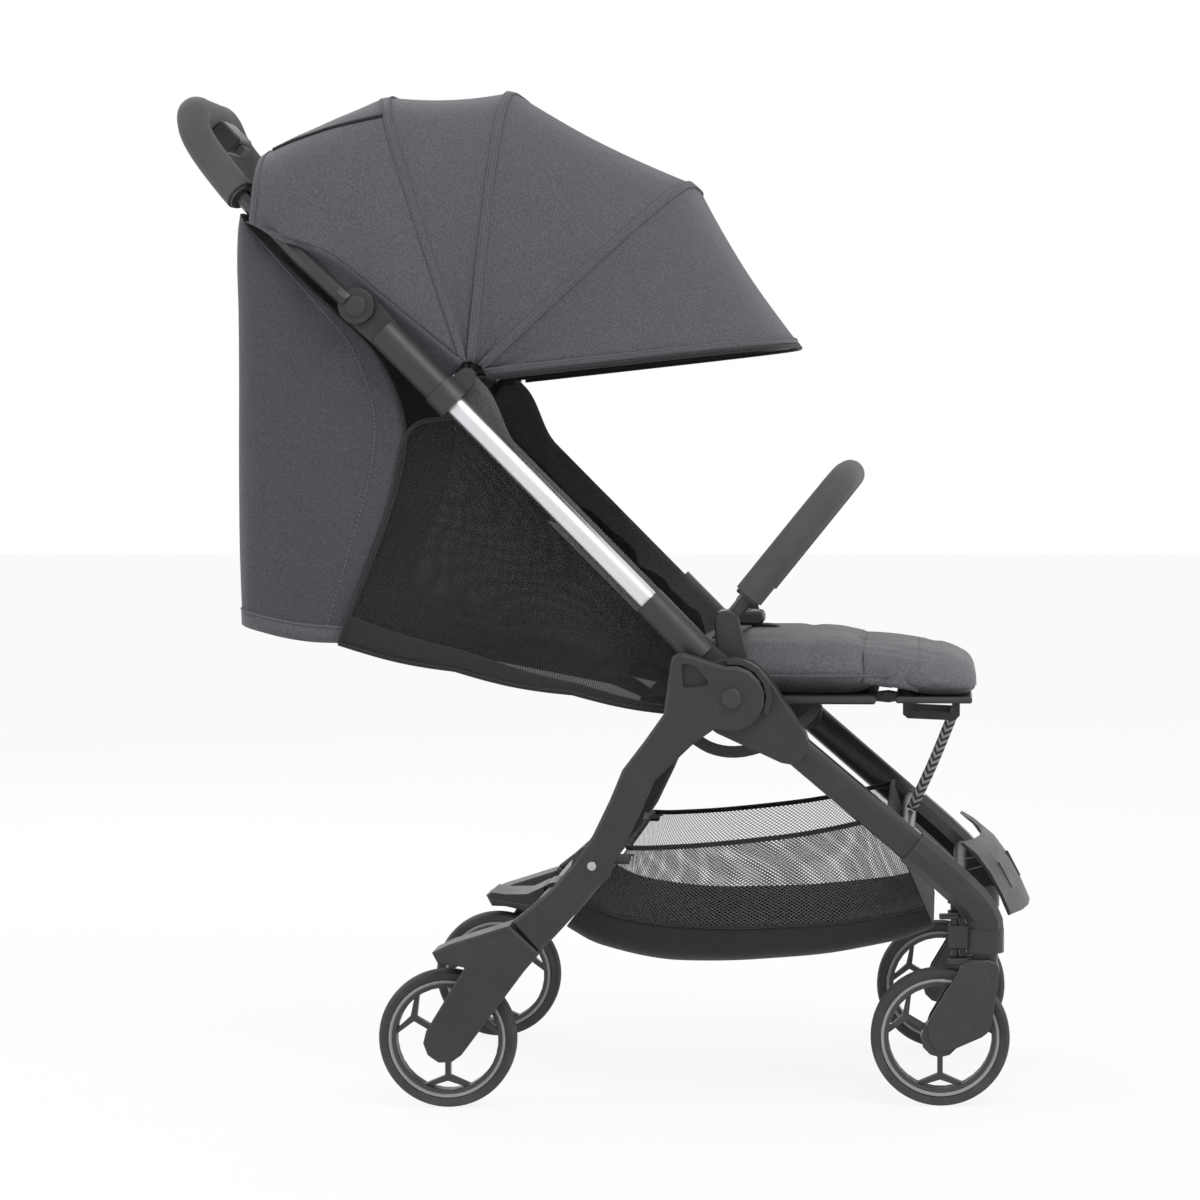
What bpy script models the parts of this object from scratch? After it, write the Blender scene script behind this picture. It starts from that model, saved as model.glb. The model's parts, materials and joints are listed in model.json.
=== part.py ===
"""Lightweight folding stroller, in metres: X across, front towards -Y, +Z up, floor at Z = 0.

Left pieces are modelled at +X and mirrored to the right. Side views are drawn as (y, z) pairs.
"""

import math

import bmesh
import bpy
from mathutils import Matrix, Vector

# General clearances and edge sizes
FIT = 0.0003
RUN = 0.001
SIDE_GAP = 0.0008
EDGE = 0.0015
BEND_STEP = 11.0
LONGEST_STEP = 0.050

# Wheels
WHEEL_RADIUS = 0.070
WHEEL_SIDES = 32
TYRE_WIDTH = 0.026
TYRE_DEPTH = 0.0105
RIM_WIDTH = 0.021
RIM_RING = 0.0075
SPOKE_COUNT = 3
SPOKE_WIDTH = 0.0056
SPOKE_SPREAD = 25.0
SPOKE_FORK_RADIUS = 0.038
SPOKE_THICKNESS = 0.010
RIM_HUB_RADIUS = 0.0195
AXLE_RADIUS = 0.004

# Wheel places
AXLE_HEIGHT = WHEEL_RADIUS * math.cos(math.pi / WHEEL_SIDES)
REAR_AXLE_Y = 0.145
REAR_WHEEL_X = 0.215
FRONT_AXLE_Y = -0.350
FRONT_WHEEL_X = 0.1725
CASTER_TRAIL = 0.045

# Main pivot of the frame, and the straight upper frame that leans back from it
HUB_Y = -0.144
HUB_Z = 0.416
FRAME_X = 0.204
FRAME_LEAN = 45.4
TUBE_RISE = 0.006
TUBE_RADIUS = 0.011
TUBE_START = 0.095
TUBE_END = 0.470
SLEEVE_RADIUS = 0.0165
LOWER_SLEEVE_START = 0.050
LOWER_SLEEVE_END = 0.128
COLLAR_START = 0.404
COLLAR_LENGTH = 0.024
COLLAR_RADIUS = 0.0185
UPPER_SLEEVE_END = 0.508
KNUCKLE_REACH = 0.544
KNUCKLE_RADIUS = 0.0185
KNUCKLE_THICKNESS = 0.010
TONGUE_WIDTH = 0.016
TONGUE_RADIUS = 0.024
EAR_WIDTH = 0.008
EAR_RADIUS = 0.040
SOCKET_REACH = 0.074
SOCKET_RADIUS = 0.0195
RIDGE_WIDTH = 0.006
RIDGE_HEIGHT = 0.013
RIDGE_FROM = 82.0
RIDGE_TO = 205.0
HUB_PIN_RADIUS = 0.005
HUB_PIN_HEAD = 0.0105

# Front legs
LEG_ANGLE = 220.6
LEG_DEPTH = 0.032
LEG_WIDTH = 0.019
LEG_SIDES = 12
LEG_START = 0.047
LEG_END = 0.262
LEG_TOE_IN = 0.017
ELBOW_RADIUS = 0.0185
ELBOW_OVERLAP = 0.028
BARREL_TOP = 0.186
BARREL_BOTTOM = 0.156
STEM_RADIUS = 0.006
STEM_TOP = 0.190
FORK_TOP = 0.150
FORK_PLATE = 0.006
FORK_GAP = 0.0015
WHEEL_GAP = 0.0035
LOCK_OFFSET = 0.030
LOCK_RADIUS = 0.0045
LOCK_PLAY = 0.002
LUG_WIDTH = 0.006
LUG_HEIGHT = 0.0065
LOCK_TRAVEL = 0.005
LOCK_GUIDE_TOP = 0.183
CROSS_BAR_RADIUS = 0.008
CROSS_BAR_Y = -0.316
CROSS_BAR_Z = 0.273

# Rear legs
REAR_LEG_WIDTH = 0.020
REAR_LEG_INSET = 0.0015
REAR_DISC_RADIUS = 0.0325
BRACKET_INNER_X = 0.196
REAR_TUBE_Y = 0.0565
REAR_TUBE_Z = 0.1902
REAR_TUBE_RADIUS = 0.010
BRAKE_PIN_RADIUS = 0.0025
BRAKE_PIN_CIRCLE = 0.030
BRAKE_PIN_ANGLE = 112.0
BRAKE_PIN_REST = 0.0025
PEDAL_HALF_WIDTH = 0.030

# Handle
HANDLE_TUBE_RADIUS = 0.0088
HANDLE_KNUCKLE = 0.0135
GRIP_RADIUS = 0.0165
GRIP_START = 0.177
HANDLE_REACH = 0.8246
HANDLE_RISE = 0.0154
HANDLE_HALF_WIDTH = 0.108
BUTTON_TRAVEL = 0.006
BUTTON_HALF_WIDTH = 0.015

# Canopy
BOW_RADIUS = 0.0025
BOW_STEP = 0.0062
BOW_X = 0.1885
BOW_PIVOT_RISE = 0.034
BOW_EYE_RADIUS = 0.0070
BOW_PIN_RADIUS = 0.0025
BOW_SQUARENESS = 0.45
REAR_BOW_TOP = (0.217, 1.022)
MIDDLE_BOW_TOP = (0.092, 1.026)
FRONT_BOW_TOP = (-0.0905, 0.932)
VISOR_BOW_TOP = (-0.195, 0.770)
COVER_THICKNESS = 0.0022
COVER_GAP = 0.0008
COVER_FOOT = 0.016
COVER_SAG = 0.003
SAG_REACH = 0.25
COVER_SEAM = 0.0003

# Seat
BOARD_THICKNESS = 0.008
SEAT_HALF_WIDTH = 0.160
SEAT_FRONT_Y = -0.285
SEAT_REAR_Y = -0.046
SEAT_PAD_FRONT_Y = -0.304
SEAT_PAD_REAR_Y = -0.072
SEAT_BOARD_Z = 0.404
SEAT_PAD_HEIGHT = 0.066
SEAT_PAD_SETTLE = 0.0038
RECLINE_Y = -0.030
RECLINE_Z = 0.424
RECLINE_ANGLE = 11.0
BACKREST_LENGTH = 0.370
BACKREST_HALF_WIDTH = 0.155
BACKREST_THICKNESS = 0.006
BACKREST_PAD_HEIGHT = 0.026
BACKREST_PAD_SETTLE = 0.0020
HINGE_RADIUS = 0.0075
HINGE_PIN_RADIUS = 0.003
CALF_HINGE_Y = -0.296
CALF_LENGTH = 0.098
CALF_PAD_HEIGHT = 0.050
CALF_PAD_REAR_Y = -0.2965
STRAP_WIDTH = 0.012
STRAP_THICKNESS = 0.0016
WEBBING_WIDTH = 0.025
WEBBING_THICKNESS = 0.002

# Bumper bar
BUMPER_PIVOT_Y = -0.136
BUMPER_PIVOT_Z = 0.488
BUMPER_ANGLE = 129.0
BUMPER_LENGTH = 0.186
BUMPER_X = 0.1700
BUMPER_TUBE_RADIUS = 0.0075
BUMPER_GRIP_RADIUS = 0.0155
BUMPER_GRIP_START = 0.034
BUMPER_BRACKET_WIDTH = 0.0082

# Fabric of the rear and sides, and the basket
PANEL_THICKNESS = 0.0018
PANEL_SIDE_GAP = 0.0003
CURTAIN_THICKNESS = 0.0024
CURTAIN_BACK_Y = 0.372
CURTAIN_SQUARENESS = 0.28
BASKET_WALL = 0.002
BASKET_TOP_HALF = 0.168
BASKET_BOTTOM_HALF = 0.145

HUB = (HUB_Y, HUB_Z)
SWIVEL_Y = FRONT_AXLE_Y - CASTER_TRAIL
TONGUE_INNER = FRAME_X - TONGUE_WIDTH / 2
TONGUE_OUTER = FRAME_X + TONGUE_WIDTH / 2
EAR_INNER_X = TONGUE_INNER - RUN - EAR_WIDTH
EAR_OUTER_X = TONGUE_OUTER + RUN + EAR_WIDTH
REAR_LEG_X = EAR_OUTER_X + REAR_LEG_INSET
REAR_LEG_OUTER = REAR_LEG_X + REAR_LEG_WIDTH
RIM_OUTER = WHEEL_RADIUS - TYRE_DEPTH

COLOURS = {
    "black_plastic": ((0.042, 0.042, 0.045), 0.48, 0.0),
    "frame_coat": ((0.055, 0.055, 0.058), 0.42, 0.2),
    "aluminium": ((0.62, 0.62, 0.64), 0.30, 1.0),
    "steel": ((0.50, 0.50, 0.52), 0.28, 1.0),
    "tyre": ((0.060, 0.060, 0.062), 0.75, 0.0),
    "rim": ((0.070, 0.070, 0.074), 0.50, 0.0),
    "grip_foam": ((0.085, 0.085, 0.090), 0.85, 0.0),
    "grey_fabric": ((0.120, 0.115, 0.130), 0.90, 0.0),
    "black_mesh": ((0.022, 0.022, 0.026), 0.90, 0.0),
    "webbing": ((0.030, 0.030, 0.033), 0.85, 0.0),
}


def clear_scene():
    for item in list(bpy.data.objects):
        bpy.data.objects.remove(item)


def make_collection(name):
    collection = bpy.data.collections.new(name)
    bpy.context.scene.collection.children.link(collection)
    return collection


def make_material(name):
    colour, roughness, metallic = COLOURS[name]
    material = bpy.data.materials.new(name)
    material.use_nodes = True
    shader = material.node_tree.nodes["Principled BSDF"]
    shader.inputs["Base Color"].default_value = (*colour, 1.0)
    shader.inputs["Roughness"].default_value = roughness
    shader.inputs["Metallic"].default_value = metallic
    material.diffuse_color = (*colour, 1.0)
    return material


def put_in(item, collection):
    for owner in list(item.users_collection):
        owner.objects.unlink(item)
    collection.objects.link(item)


def finish(item, name, material, smooth=35.0):
    """Names a modelled object, gives it its material and puts it among the stroller's pieces."""
    item.name = name
    item.data.name = name
    item.data.materials.clear()
    item.data.materials.append(MATERIALS[material])
    if item.type == "MESH":
        item.data.shade_smooth()
        item.data.set_sharp_from_angle(angle=math.radians(smooth))
    put_in(item, PIECES)
    return item


def cut_with(item, cutter, operation="DIFFERENCE"):
    """Cuts or joins with another object, which becomes a hidden cutter."""
    step = item.modifiers.new(operation.lower(), "BOOLEAN")
    step.operation = operation
    step.object = cutter
    step.solver = "EXACT"
    cutter.hide_render = True
    cutter.display_type = "WIRE"
    put_in(cutter, CUTTERS)
    return item


def join_to(item, *others):
    for other in others:
        cut_with(item, other, "UNION")
    return item


def evaluated_mesh(item):
    bpy.context.view_layer.update()
    graph = bpy.context.evaluated_depsgraph_get()
    return bpy.data.meshes.new_from_object(item.evaluated_get(graph))


def apply_modifiers(item):
    """Keeps what an object's modifiers make as its mesh."""
    mesh = evaluated_mesh(item)
    item.modifiers.clear()
    item.data = mesh
    return item


def as_mesh(item):
    """Replaces a curve by its mesh, with its caps welded on."""
    mesh = evaluated_mesh(item)
    made = bpy.data.objects.new(item.name, mesh)
    made.matrix_world = item.matrix_world.copy()
    bpy.context.scene.collection.objects.link(made)
    bpy.data.objects.remove(item)
    edit = bmesh.new()
    edit.from_mesh(mesh)
    bmesh.ops.remove_doubles(edit, verts=edit.verts, dist=1e-6)
    edit.to_mesh(mesh)
    edit.free()
    return made


def mirrored(item, name):
    """Makes the right-hand twin of a finished left-hand piece."""
    mesh = evaluated_mesh(item)
    mesh.transform(Matrix.Scale(-1, 4, (1, 0, 0)) @ item.matrix_world)
    mesh.flip_normals()
    twin = bpy.data.objects.new(name, mesh)
    twin.data.name = name
    PIECES.objects.link(twin)
    return twin


def along_frame(reach, rise=0.0):
    """The (y, z) point at a distance up the leaning frame, and a rise square to it."""
    lean = math.radians(FRAME_LEAN)
    y = HUB_Y + reach * math.cos(lean) - rise * math.sin(lean)
    z = HUB_Z + reach * math.sin(lean) + rise * math.cos(lean)
    return y, z


def polar(centre, radius, degrees):
    angle = math.radians(degrees)
    return centre[0] + radius * math.cos(angle), centre[1] + radius * math.sin(angle)


def arc(centre, radius, start, stop, steps):
    return [polar(centre, radius, start + (stop - start) * i / steps) for i in range(steps + 1)]


def tapered_link(first, first_radius, second, second_radius, steps):
    """Outline round two circles and the straight tangents between them."""
    run = Vector(second) - Vector(first)
    heading = math.degrees(math.atan2(run.y, run.x))
    spread = math.degrees(math.acos((first_radius - second_radius) / run.length))
    far = arc(second, second_radius, heading - spread, heading + spread, steps)
    near = arc(first, first_radius, heading + spread, heading + 360 - spread, steps + 3)
    return far + near


def rounded(corners, steps=3):
    """Outline of a polygon whose corners are (y, z, radius)."""
    outline = []
    count = len(corners)
    for i, (y, z, radius) in enumerate(corners):
        here = Vector((y, z))
        back = (Vector(corners[i - 1][:2]) - here).normalized()
        ahead = (Vector(corners[(i + 1) % count][:2]) - here).normalized()
        half = math.acos(max(-1.0, min(1.0, back.dot(ahead)))) / 2
        centre = here + (back + ahead).normalized() * (radius / math.sin(half))
        start = here + back * (radius / math.tan(half)) - centre
        stop = here + ahead * (radius / math.tan(half)) - centre
        turn = start.angle_signed(stop)
        for k in range(steps + 1):
            spoke = start.copy()
            spoke.rotate(Matrix.Rotation(-turn * k / steps, 2))
            outline.append(tuple(centre + spoke))
    return outline


def smooth_path(points, per_span=4):
    """Points along a smooth curve through the given points, in any number of dimensions."""
    ends = [points[0]] + list(points) + [points[-1]]
    path = []
    for i in range(1, len(ends) - 2):
        before, start, stop, after = (Vector(p) for p in ends[i - 1 : i + 3])
        for k in range(per_span):
            t = k / per_span
            curve = (stop - before) * t + (before * 2 - start * 5 + stop * 4 - after) * t * t
            curve += (start * 3 - before - stop * 3 + after) * t * t * t
            path.append(start + curve / 2)
    path.append(Vector(points[-1]))
    return path


def thinned(path):
    """Leaves out the points of a path where it hardly turns."""
    kept = [path[0]]
    for here, after in zip(path[1:], path[2:]):
        run = here - kept[-1]
        if run.angle(after - here) > math.radians(BEND_STEP) or run.length > LONGEST_STEP:
            kept.append(here)
    return kept + [path[-1]]


def beyond(path, distance):
    """The rest of a path after a distance along it."""
    for i, (here, after) in enumerate(zip(path, path[1:])):
        step = (after - here).length
        if distance < step:
            return [here.lerp(after, distance / step)] + path[i + 1 :]
        distance -= step
    return path[-1:]


def both_sides(half):
    """A path from its left half, which ends short of the middle."""
    return half + [Vector((-place.x, place.y, place.z)) for place in reversed(half)]


def ribbon(centres, per_span=3):
    """Both edges of a strip along (y, z, half width) points: left edge, then right edge back."""
    path = smooth_path(centres, per_span)
    left = []
    right = []
    for i, here in enumerate(path):
        run = (path[min(i + 1, len(path) - 1)] - path[max(i - 1, 0)]).to_2d().normalized()
        side = Vector((-run.y, run.x)) * here.z
        left.append(tuple(here.to_2d() + side))
        right.append(tuple(here.to_2d() - side))
    return left, right


SIDE_VIEW = Matrix(((0, 0, 1, 0), (1, 0, 0, 0), (0, 1, 0, 0), (0, 0, 0, 1)))


def plate(outlines, x_from, x_to, edge=0.0):
    """A flat piece: (y, z) outlines, the first outside and the rest holes, from one x to another."""
    curve = bpy.data.curves.new("plate", "CURVE")
    curve.dimensions = "2D"
    curve.fill_mode = "BOTH"
    curve.extrude = (x_to - x_from) / 2 - edge
    curve.bevel_depth = edge
    curve.bevel_resolution = 0
    curve.offset = -edge
    for outline in outlines:
        spline = curve.splines.new("POLY")
        spline.points.add(len(outline) - 1)
        for point, (y, z) in zip(spline.points, outline):
            point.co = (y, z, 0, 1)
        spline.use_cyclic_u = True
    item = bpy.data.objects.new("plate", curve)
    bpy.context.scene.collection.objects.link(item)
    item.matrix_world = Matrix.Translation(((x_from + x_to) / 2, 0, 0)) @ SIDE_VIEW
    return as_mesh(item)


def tube(points, radius, sides=2):
    """A round bar along (x, y, z) points; sides 1, 2, 3 gives 6, 8 or 10 sides."""
    curve = bpy.data.curves.new("tube", "CURVE")
    curve.dimensions = "3D"
    curve.bevel_depth = radius
    curve.bevel_resolution = sides
    curve.use_fill_caps = True
    spline = curve.splines.new("POLY")
    spline.points.add(len(points) - 1)
    for point, place in zip(spline.points, points):
        point.co = (*place, 1)
    item = bpy.data.objects.new("tube", curve)
    bpy.context.scene.collection.objects.link(item)
    return as_mesh(item)


def rod(start, stop, radius, sides=16):
    """A straight cylinder between two (x, y, z) points."""
    start, stop = Vector(start), Vector(stop)
    run = stop - start
    edit = bmesh.new()
    bmesh.ops.create_cone(
        edit, cap_ends=True, segments=sides, radius1=radius, radius2=radius, depth=run.length
    )
    turn = run.to_track_quat("Z", "Y").to_matrix().to_4x4()
    bmesh.ops.transform(edit, matrix=Matrix.Translation((start + stop) / 2) @ turn, verts=edit.verts)
    return from_bmesh(edit)


def cross_rod(y, z, x_from, x_to, radius, sides=16):
    return rod((x_from, y, z), (x_to, y, z), radius, sides)


def box(low, high, edge=0.0):
    edit = bmesh.new()
    bmesh.ops.create_cube(edit, size=1)
    low, high = Vector(low), Vector(high)
    bmesh.ops.scale(edit, vec=high - low, verts=edit.verts)
    bmesh.ops.translate(edit, vec=(low + high) / 2, verts=edit.verts)
    if edge:
        bmesh.ops.bevel(
            edit, geom=edit.edges[:], offset=edge, segments=1, affect="EDGES", profile=0.5, material=-1
        )
    return from_bmesh(edit)


def from_bmesh(edit, name="part"):
    if edit.faces and edit.calc_volume(signed=True) < 0:
        bmesh.ops.reverse_faces(edit, faces=edit.faces)
    mesh = bpy.data.meshes.new(name)
    edit.to_mesh(mesh)
    edit.free()
    item = bpy.data.objects.new(name, mesh)
    bpy.context.scene.collection.objects.link(item)
    return item


def turned(profile, place, sides, closed=True):
    """A profile of (radius, distance along X) points, run down the outer side, turned about X."""
    edit = bmesh.new()
    corners = [edit.verts.new((radius, 0, -length)) for radius, length in profile]
    pairs = list(zip(corners, corners[1:]))
    if closed:
        pairs.append((corners[-1], corners[0]))
    for pair in pairs:
        edit.edges.new(pair)
    item = from_bmesh(edit)
    screw = item.modifiers.new("turn", "SCREW")
    screw.axis = "Z"
    screw.angle = 2 * math.pi
    screw.steps = sides
    screw.render_steps = sides
    screw.use_merge_vertices = True
    screw.merge_threshold = 1e-5
    half_step = Matrix.Rotation(math.pi / sides, 4, "Z")
    to_x = Matrix(((0, 0, -1, 0), (0, 1, 0, 0), (1, 0, 0, 0), (0, 0, 0, 1)))
    mesh = evaluated_mesh(item)
    mesh.transform(Matrix.Translation(place) @ to_x @ half_step)
    bpy.data.objects.remove(item)
    made = bpy.data.objects.new("turned", mesh)
    bpy.context.scene.collection.objects.link(made)
    return made


def lofted(rows, closed_rows=False, caps=False):
    """A surface through rows of (x, y, z) points, all rows with as many points."""
    edit = bmesh.new()
    grid = [[edit.verts.new(place) for place in row] for row in rows]
    for first, second in zip(grid, grid[1:]):
        count = len(first)
        for i in range(count if closed_rows else count - 1):
            j = (i + 1) % count
            edit.faces.new((first[i], first[j], second[j], second[i]))
    if caps:
        edit.faces.new(reversed(grid[0]))
        edit.faces.new(grid[-1])
    bmesh.ops.recalc_face_normals(edit, faces=edit.faces)
    return from_bmesh(edit)


def thickened(item, thickness, offset=-1.0):
    shell = item.modifiers.new("wall", "SOLIDIFY")
    shell.thickness = thickness
    shell.offset = offset
    shell.use_even_offset = True
    return item


def arch(half_width, foot, top, steps=7, square=BOW_SQUARENESS):
    """Points from the left foot over the top to the right foot of a squarish arch."""
    half = []
    for i in range(steps + 1):
        angle = math.pi / 2 * i / steps
        across = half_width * math.cos(angle) ** square if i < steps else 0.0
        up = math.sin(angle) ** square
        y = foot[0] + (top[0] - foot[0]) * up
        z = foot[1] + (top[1] - foot[1]) * up
        half.append((across, y, z))
    return half + [(-x, y, z) for x, y, z in reversed(half[:-1])]


# Wheels


def tyre(name, x, y):
    half = TYRE_WIDTH / 2
    tread = half * 0.35
    shoulder = WHEEL_RADIUS - 0.0030
    profile = [
        (RIM_OUTER + FIT, -half * 0.80),
        (shoulder, -half),
        (WHEEL_RADIUS, -tread),
        (WHEEL_RADIUS, tread),
        (shoulder, half),
        (RIM_OUTER + FIT, half * 0.80),
    ]
    ring = turned(profile, (x, y, AXLE_HEIGHT), WHEEL_SIDES)
    return finish(ring, name, "tyre", 50)


def rim(name, x, y):
    """Rim ring, round hub and spokes that fork towards the ring."""
    centre = (y, AXLE_HEIGHT)
    window_radius = RIM_OUTER - RIM_RING
    sunk = window_radius + 0.002
    hub_sunk = RIM_HUB_RADIUS - 0.001
    outlines = [arc(centre, RIM_OUTER - 0.002, 0, 330, 11)]
    ring_half = math.degrees(SPOKE_WIDTH / 2 / sunk)
    fork_half = math.degrees(SPOKE_WIDTH / 2 / SPOKE_FORK_RADIUS)
    hub_half = math.degrees(SPOKE_WIDTH / 2 / hub_sunk)
    pitch = 360 / SPOKE_COUNT
    for i in range(SPOKE_COUNT):
        spoke = 270 + i * pitch
        small = arc(centre, sunk, spoke - SPOKE_SPREAD + ring_half, spoke + SPOKE_SPREAD - ring_half, 2)
        small.append(polar(centre, SPOKE_FORK_RADIUS + SPOKE_WIDTH, spoke))
        outlines.append(small)
        start = spoke + SPOKE_SPREAD + ring_half
        stop = spoke + pitch - SPOKE_SPREAD - ring_half
        large = arc(centre, sunk, start, stop, 3)
        large.append(polar(centre, SPOKE_FORK_RADIUS, spoke + pitch - fork_half))
        large += arc(centre, hub_sunk, spoke + pitch - hub_half, spoke + hub_half, 2)
        large.append(polar(centre, SPOKE_FORK_RADIUS, spoke + fork_half))
        outlines.append(large)
    web = plate(outlines, x - SPOKE_THICKNESS / 2, x + SPOKE_THICKNESS / 2)
    width = RIM_WIDTH / 2
    ring = turned(
        [
            (RIM_OUTER, width),
            (RIM_OUTER, -width),
            (window_radius, -width + EDGE),
            (window_radius, width - EDGE),
        ],
        (x, y, AXLE_HEIGHT),
        WHEEL_SIDES,
    )
    hub_half_width = TYRE_WIDTH / 2
    hub = cross_rod(*centre, x - hub_half_width, x + hub_half_width, RIM_HUB_RADIUS, 12)
    join_to(web, ring, hub)
    cut_with(web, cross_rod(*centre, x - 0.02, x + 0.02, AXLE_RADIUS + FIT, 10))
    return finish(web, name, "rim", 40)


def wheels():
    for place, x, y in (("front", FRONT_WHEEL_X, FRONT_AXLE_Y), ("rear", REAR_WHEEL_X, REAR_AXLE_Y)):
        left_tyre = tyre(f"{place}_tyre_left", x, y)
        mirrored(left_tyre, f"{place}_tyre_right")
        left_rim = rim(f"{place}_rim_left", x, y)
        mirrored(left_rim, f"{place}_rim_right")


# Front frame


def leg_point(reach):
    """The (x, y, z) centre of the left front leg at a distance from the main pivot."""
    y, z = polar(HUB, reach, LEG_ANGLE)
    x = FRAME_X - LEG_TOE_IN * (reach - LEG_START) / (LEG_END - LEG_START)
    return x, y, z


def leg_bar(reach_from, reach_to, grow=0.0):
    """The oval front leg tube, and its socket's cutter when grown."""
    start, stop = Vector(leg_point(reach_from)), Vector(leg_point(reach_to))
    run = (stop - start).normalized()
    depth_axis = run.cross(Vector((1, 0, 0))).normalized()
    width_axis = depth_axis.cross(run)
    rows = []
    for end in (start, stop):
        ring = []
        for i in range(LEG_SIDES):
            angle = math.tau * i / LEG_SIDES
            across = width_axis * (LEG_WIDTH / 2 + grow) * math.copysign(
                abs(math.cos(angle)) ** 0.8, math.cos(angle)
            )
            deep = depth_axis * (LEG_DEPTH / 2 + grow) * math.copysign(
                abs(math.sin(angle)) ** 0.8, math.sin(angle)
            )
            ring.append(end + across + deep)
        rows.append(ring)
    return lofted(rows, closed_rows=True, caps=True)


def hubs():
    """Clevis hub with a socket for the front leg and a raised ridge over its front edge."""
    foot = polar(HUB, SOCKET_REACH, LEG_ANGLE)
    outline = tapered_link(HUB, EAR_RADIUS, foot, SOCKET_RADIUS, 5)
    body = plate([outline], EAR_INNER_X, EAR_OUTER_X, EDGE)
    slot_from = TONGUE_INNER - RUN
    slot_to = TONGUE_OUTER + RUN
    cut_with(body, cross_rod(*HUB, slot_from, slot_to, EAR_RADIUS + 0.0025, 20))
    relief = [polar(HUB, 0.035, 150), polar(HUB, 0.060, 150), polar(HUB, 0.060, 178)]
    relief += [polar(HUB, 0.0425, 189), polar(HUB, 0.035, 189)]
    cut_with(body, plate([relief], slot_from, slot_to))
    band = arc(HUB, EAR_RADIUS - FIT, RIDGE_FROM, RIDGE_TO, 5)
    band += arc(HUB, EAR_RADIUS - RIDGE_WIDTH, RIDGE_TO, RIDGE_FROM, 5)
    join_to(body, plate([band], EAR_OUTER_X - EAR_WIDTH / 2, EAR_OUTER_X + RIDGE_HEIGHT))
    join_to(body, *bumper_bracket())
    cut_with(body, leg_bar(LEG_START - FIT, SOCKET_REACH + SOCKET_RADIUS + 0.02, FIT))
    join_to(body, hub_pin())
    mirrored(finish(body, "hub_left", "black_plastic"), "hub_right")


def hub_pin():
    """Pin through the hub, the tongue and the rear leg, with its head outside."""
    length = REAR_LEG_OUTER + FIT - EAR_INNER_X
    profile = [
        (HUB_PIN_HEAD - 0.003, length + 0.0037),
        (HUB_PIN_HEAD, length + 0.0022),
        (HUB_PIN_HEAD, length),
        (HUB_PIN_RADIUS, length),
        (HUB_PIN_RADIUS, 0.001),
    ]
    return closed_ends(turned(profile, (EAR_INNER_X, *HUB), 14, closed=False))


def closed_ends(item):
    """Fills the flat round ends of an open turned profile."""
    edit = bmesh.new()
    edit.from_mesh(item.data)
    bmesh.ops.holes_fill(edit, edges=edit.edges)
    bmesh.ops.recalc_face_normals(edit, faces=edit.faces)
    edit.to_mesh(item.data)
    edit.free()
    return item


def front_legs():
    """Oval leg that curves at its foot into the upright barrel of the caster."""
    lead = leg_point(LEG_END - ELBOW_OVERLAP)
    end = leg_point(LEG_END + 0.012)
    route = smooth_path(
        [
            lead,
            end,
            (FRONT_WHEEL_X + 0.004, SWIVEL_Y + 0.0125, BARREL_TOP + 0.022),
            (FRONT_WHEEL_X, SWIVEL_Y, BARREL_TOP),
            (FRONT_WHEEL_X, SWIVEL_Y, BARREL_TOP - 0.018),
        ],
        2,
    )
    body = tube(route, ELBOW_RADIUS, sides=3)
    barrel_top = (FRONT_WHEEL_X, SWIVEL_Y, BARREL_TOP - 0.006)
    barrel_bottom = (FRONT_WHEEL_X, SWIVEL_Y, BARREL_BOTTOM)
    join_to(body, rod(barrel_top, barrel_bottom, ELBOW_RADIUS + 0.0006, 20))
    join_to(body, leg_bar(LEG_START, LEG_END))
    bore_top = (FRONT_WHEEL_X, SWIVEL_Y, STEM_TOP + 0.002)
    bore_bottom = (FRONT_WHEEL_X, SWIVEL_Y, BARREL_BOTTOM - 0.01)
    lock_y = SWIVEL_Y + LOCK_OFFSET
    low = (FRONT_WHEEL_X - 0.0075, SWIVEL_Y + 0.010, BARREL_BOTTOM + 0.003)
    high = (FRONT_WHEEL_X + 0.0075, lock_y + 0.0075, LOCK_GUIDE_TOP)
    join_to(body, box(low, high, 0.001))
    lock_low = (FRONT_WHEEL_X, lock_y, BARREL_BOTTOM - 0.01)
    lock_high = (FRONT_WHEEL_X, lock_y, LOCK_GUIDE_TOP + 0.001)
    cut_with(body, rod(lock_low, lock_high, LOCK_RADIUS + FIT, 10))
    cut_with(body, rod(bore_bottom, bore_top, STEM_RADIUS + FIT, 12))
    mirrored(finish(body, "front_leg_left", "frame_coat", 45), "front_leg_right")


def swivel_locks():
    """Bolt behind each barrel that is pushed down between the lugs of the fork."""
    x = FRONT_WHEEL_X
    y = SWIVEL_Y + LOCK_OFFSET
    tab_z = LOCK_GUIDE_TOP + LOCK_TRAVEL + 0.001
    bolt = rod((x, y, FORK_TOP + 0.0015), (x, y, tab_z + 0.001), LOCK_RADIUS, 10)
    join_to(bolt, box((x - 0.008, y - 0.0045, tab_z), (x + 0.008, y + 0.016, tab_z + 0.0045), 0.001))
    mirrored(finish(bolt, "swivel_lock_left", "black_plastic"), "swivel_lock_right")


def front_cross_bar():
    reach = math.hypot(CROSS_BAR_Y - HUB_Y, CROSS_BAR_Z - HUB_Z)
    end = leg_point(reach)[0] - LEG_WIDTH / 2 - SIDE_GAP
    bar = cross_rod(CROSS_BAR_Y, CROSS_BAR_Z, -end, end, CROSS_BAR_RADIUS)
    finish(bar, "front_cross_bar", "frame_coat")


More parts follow.
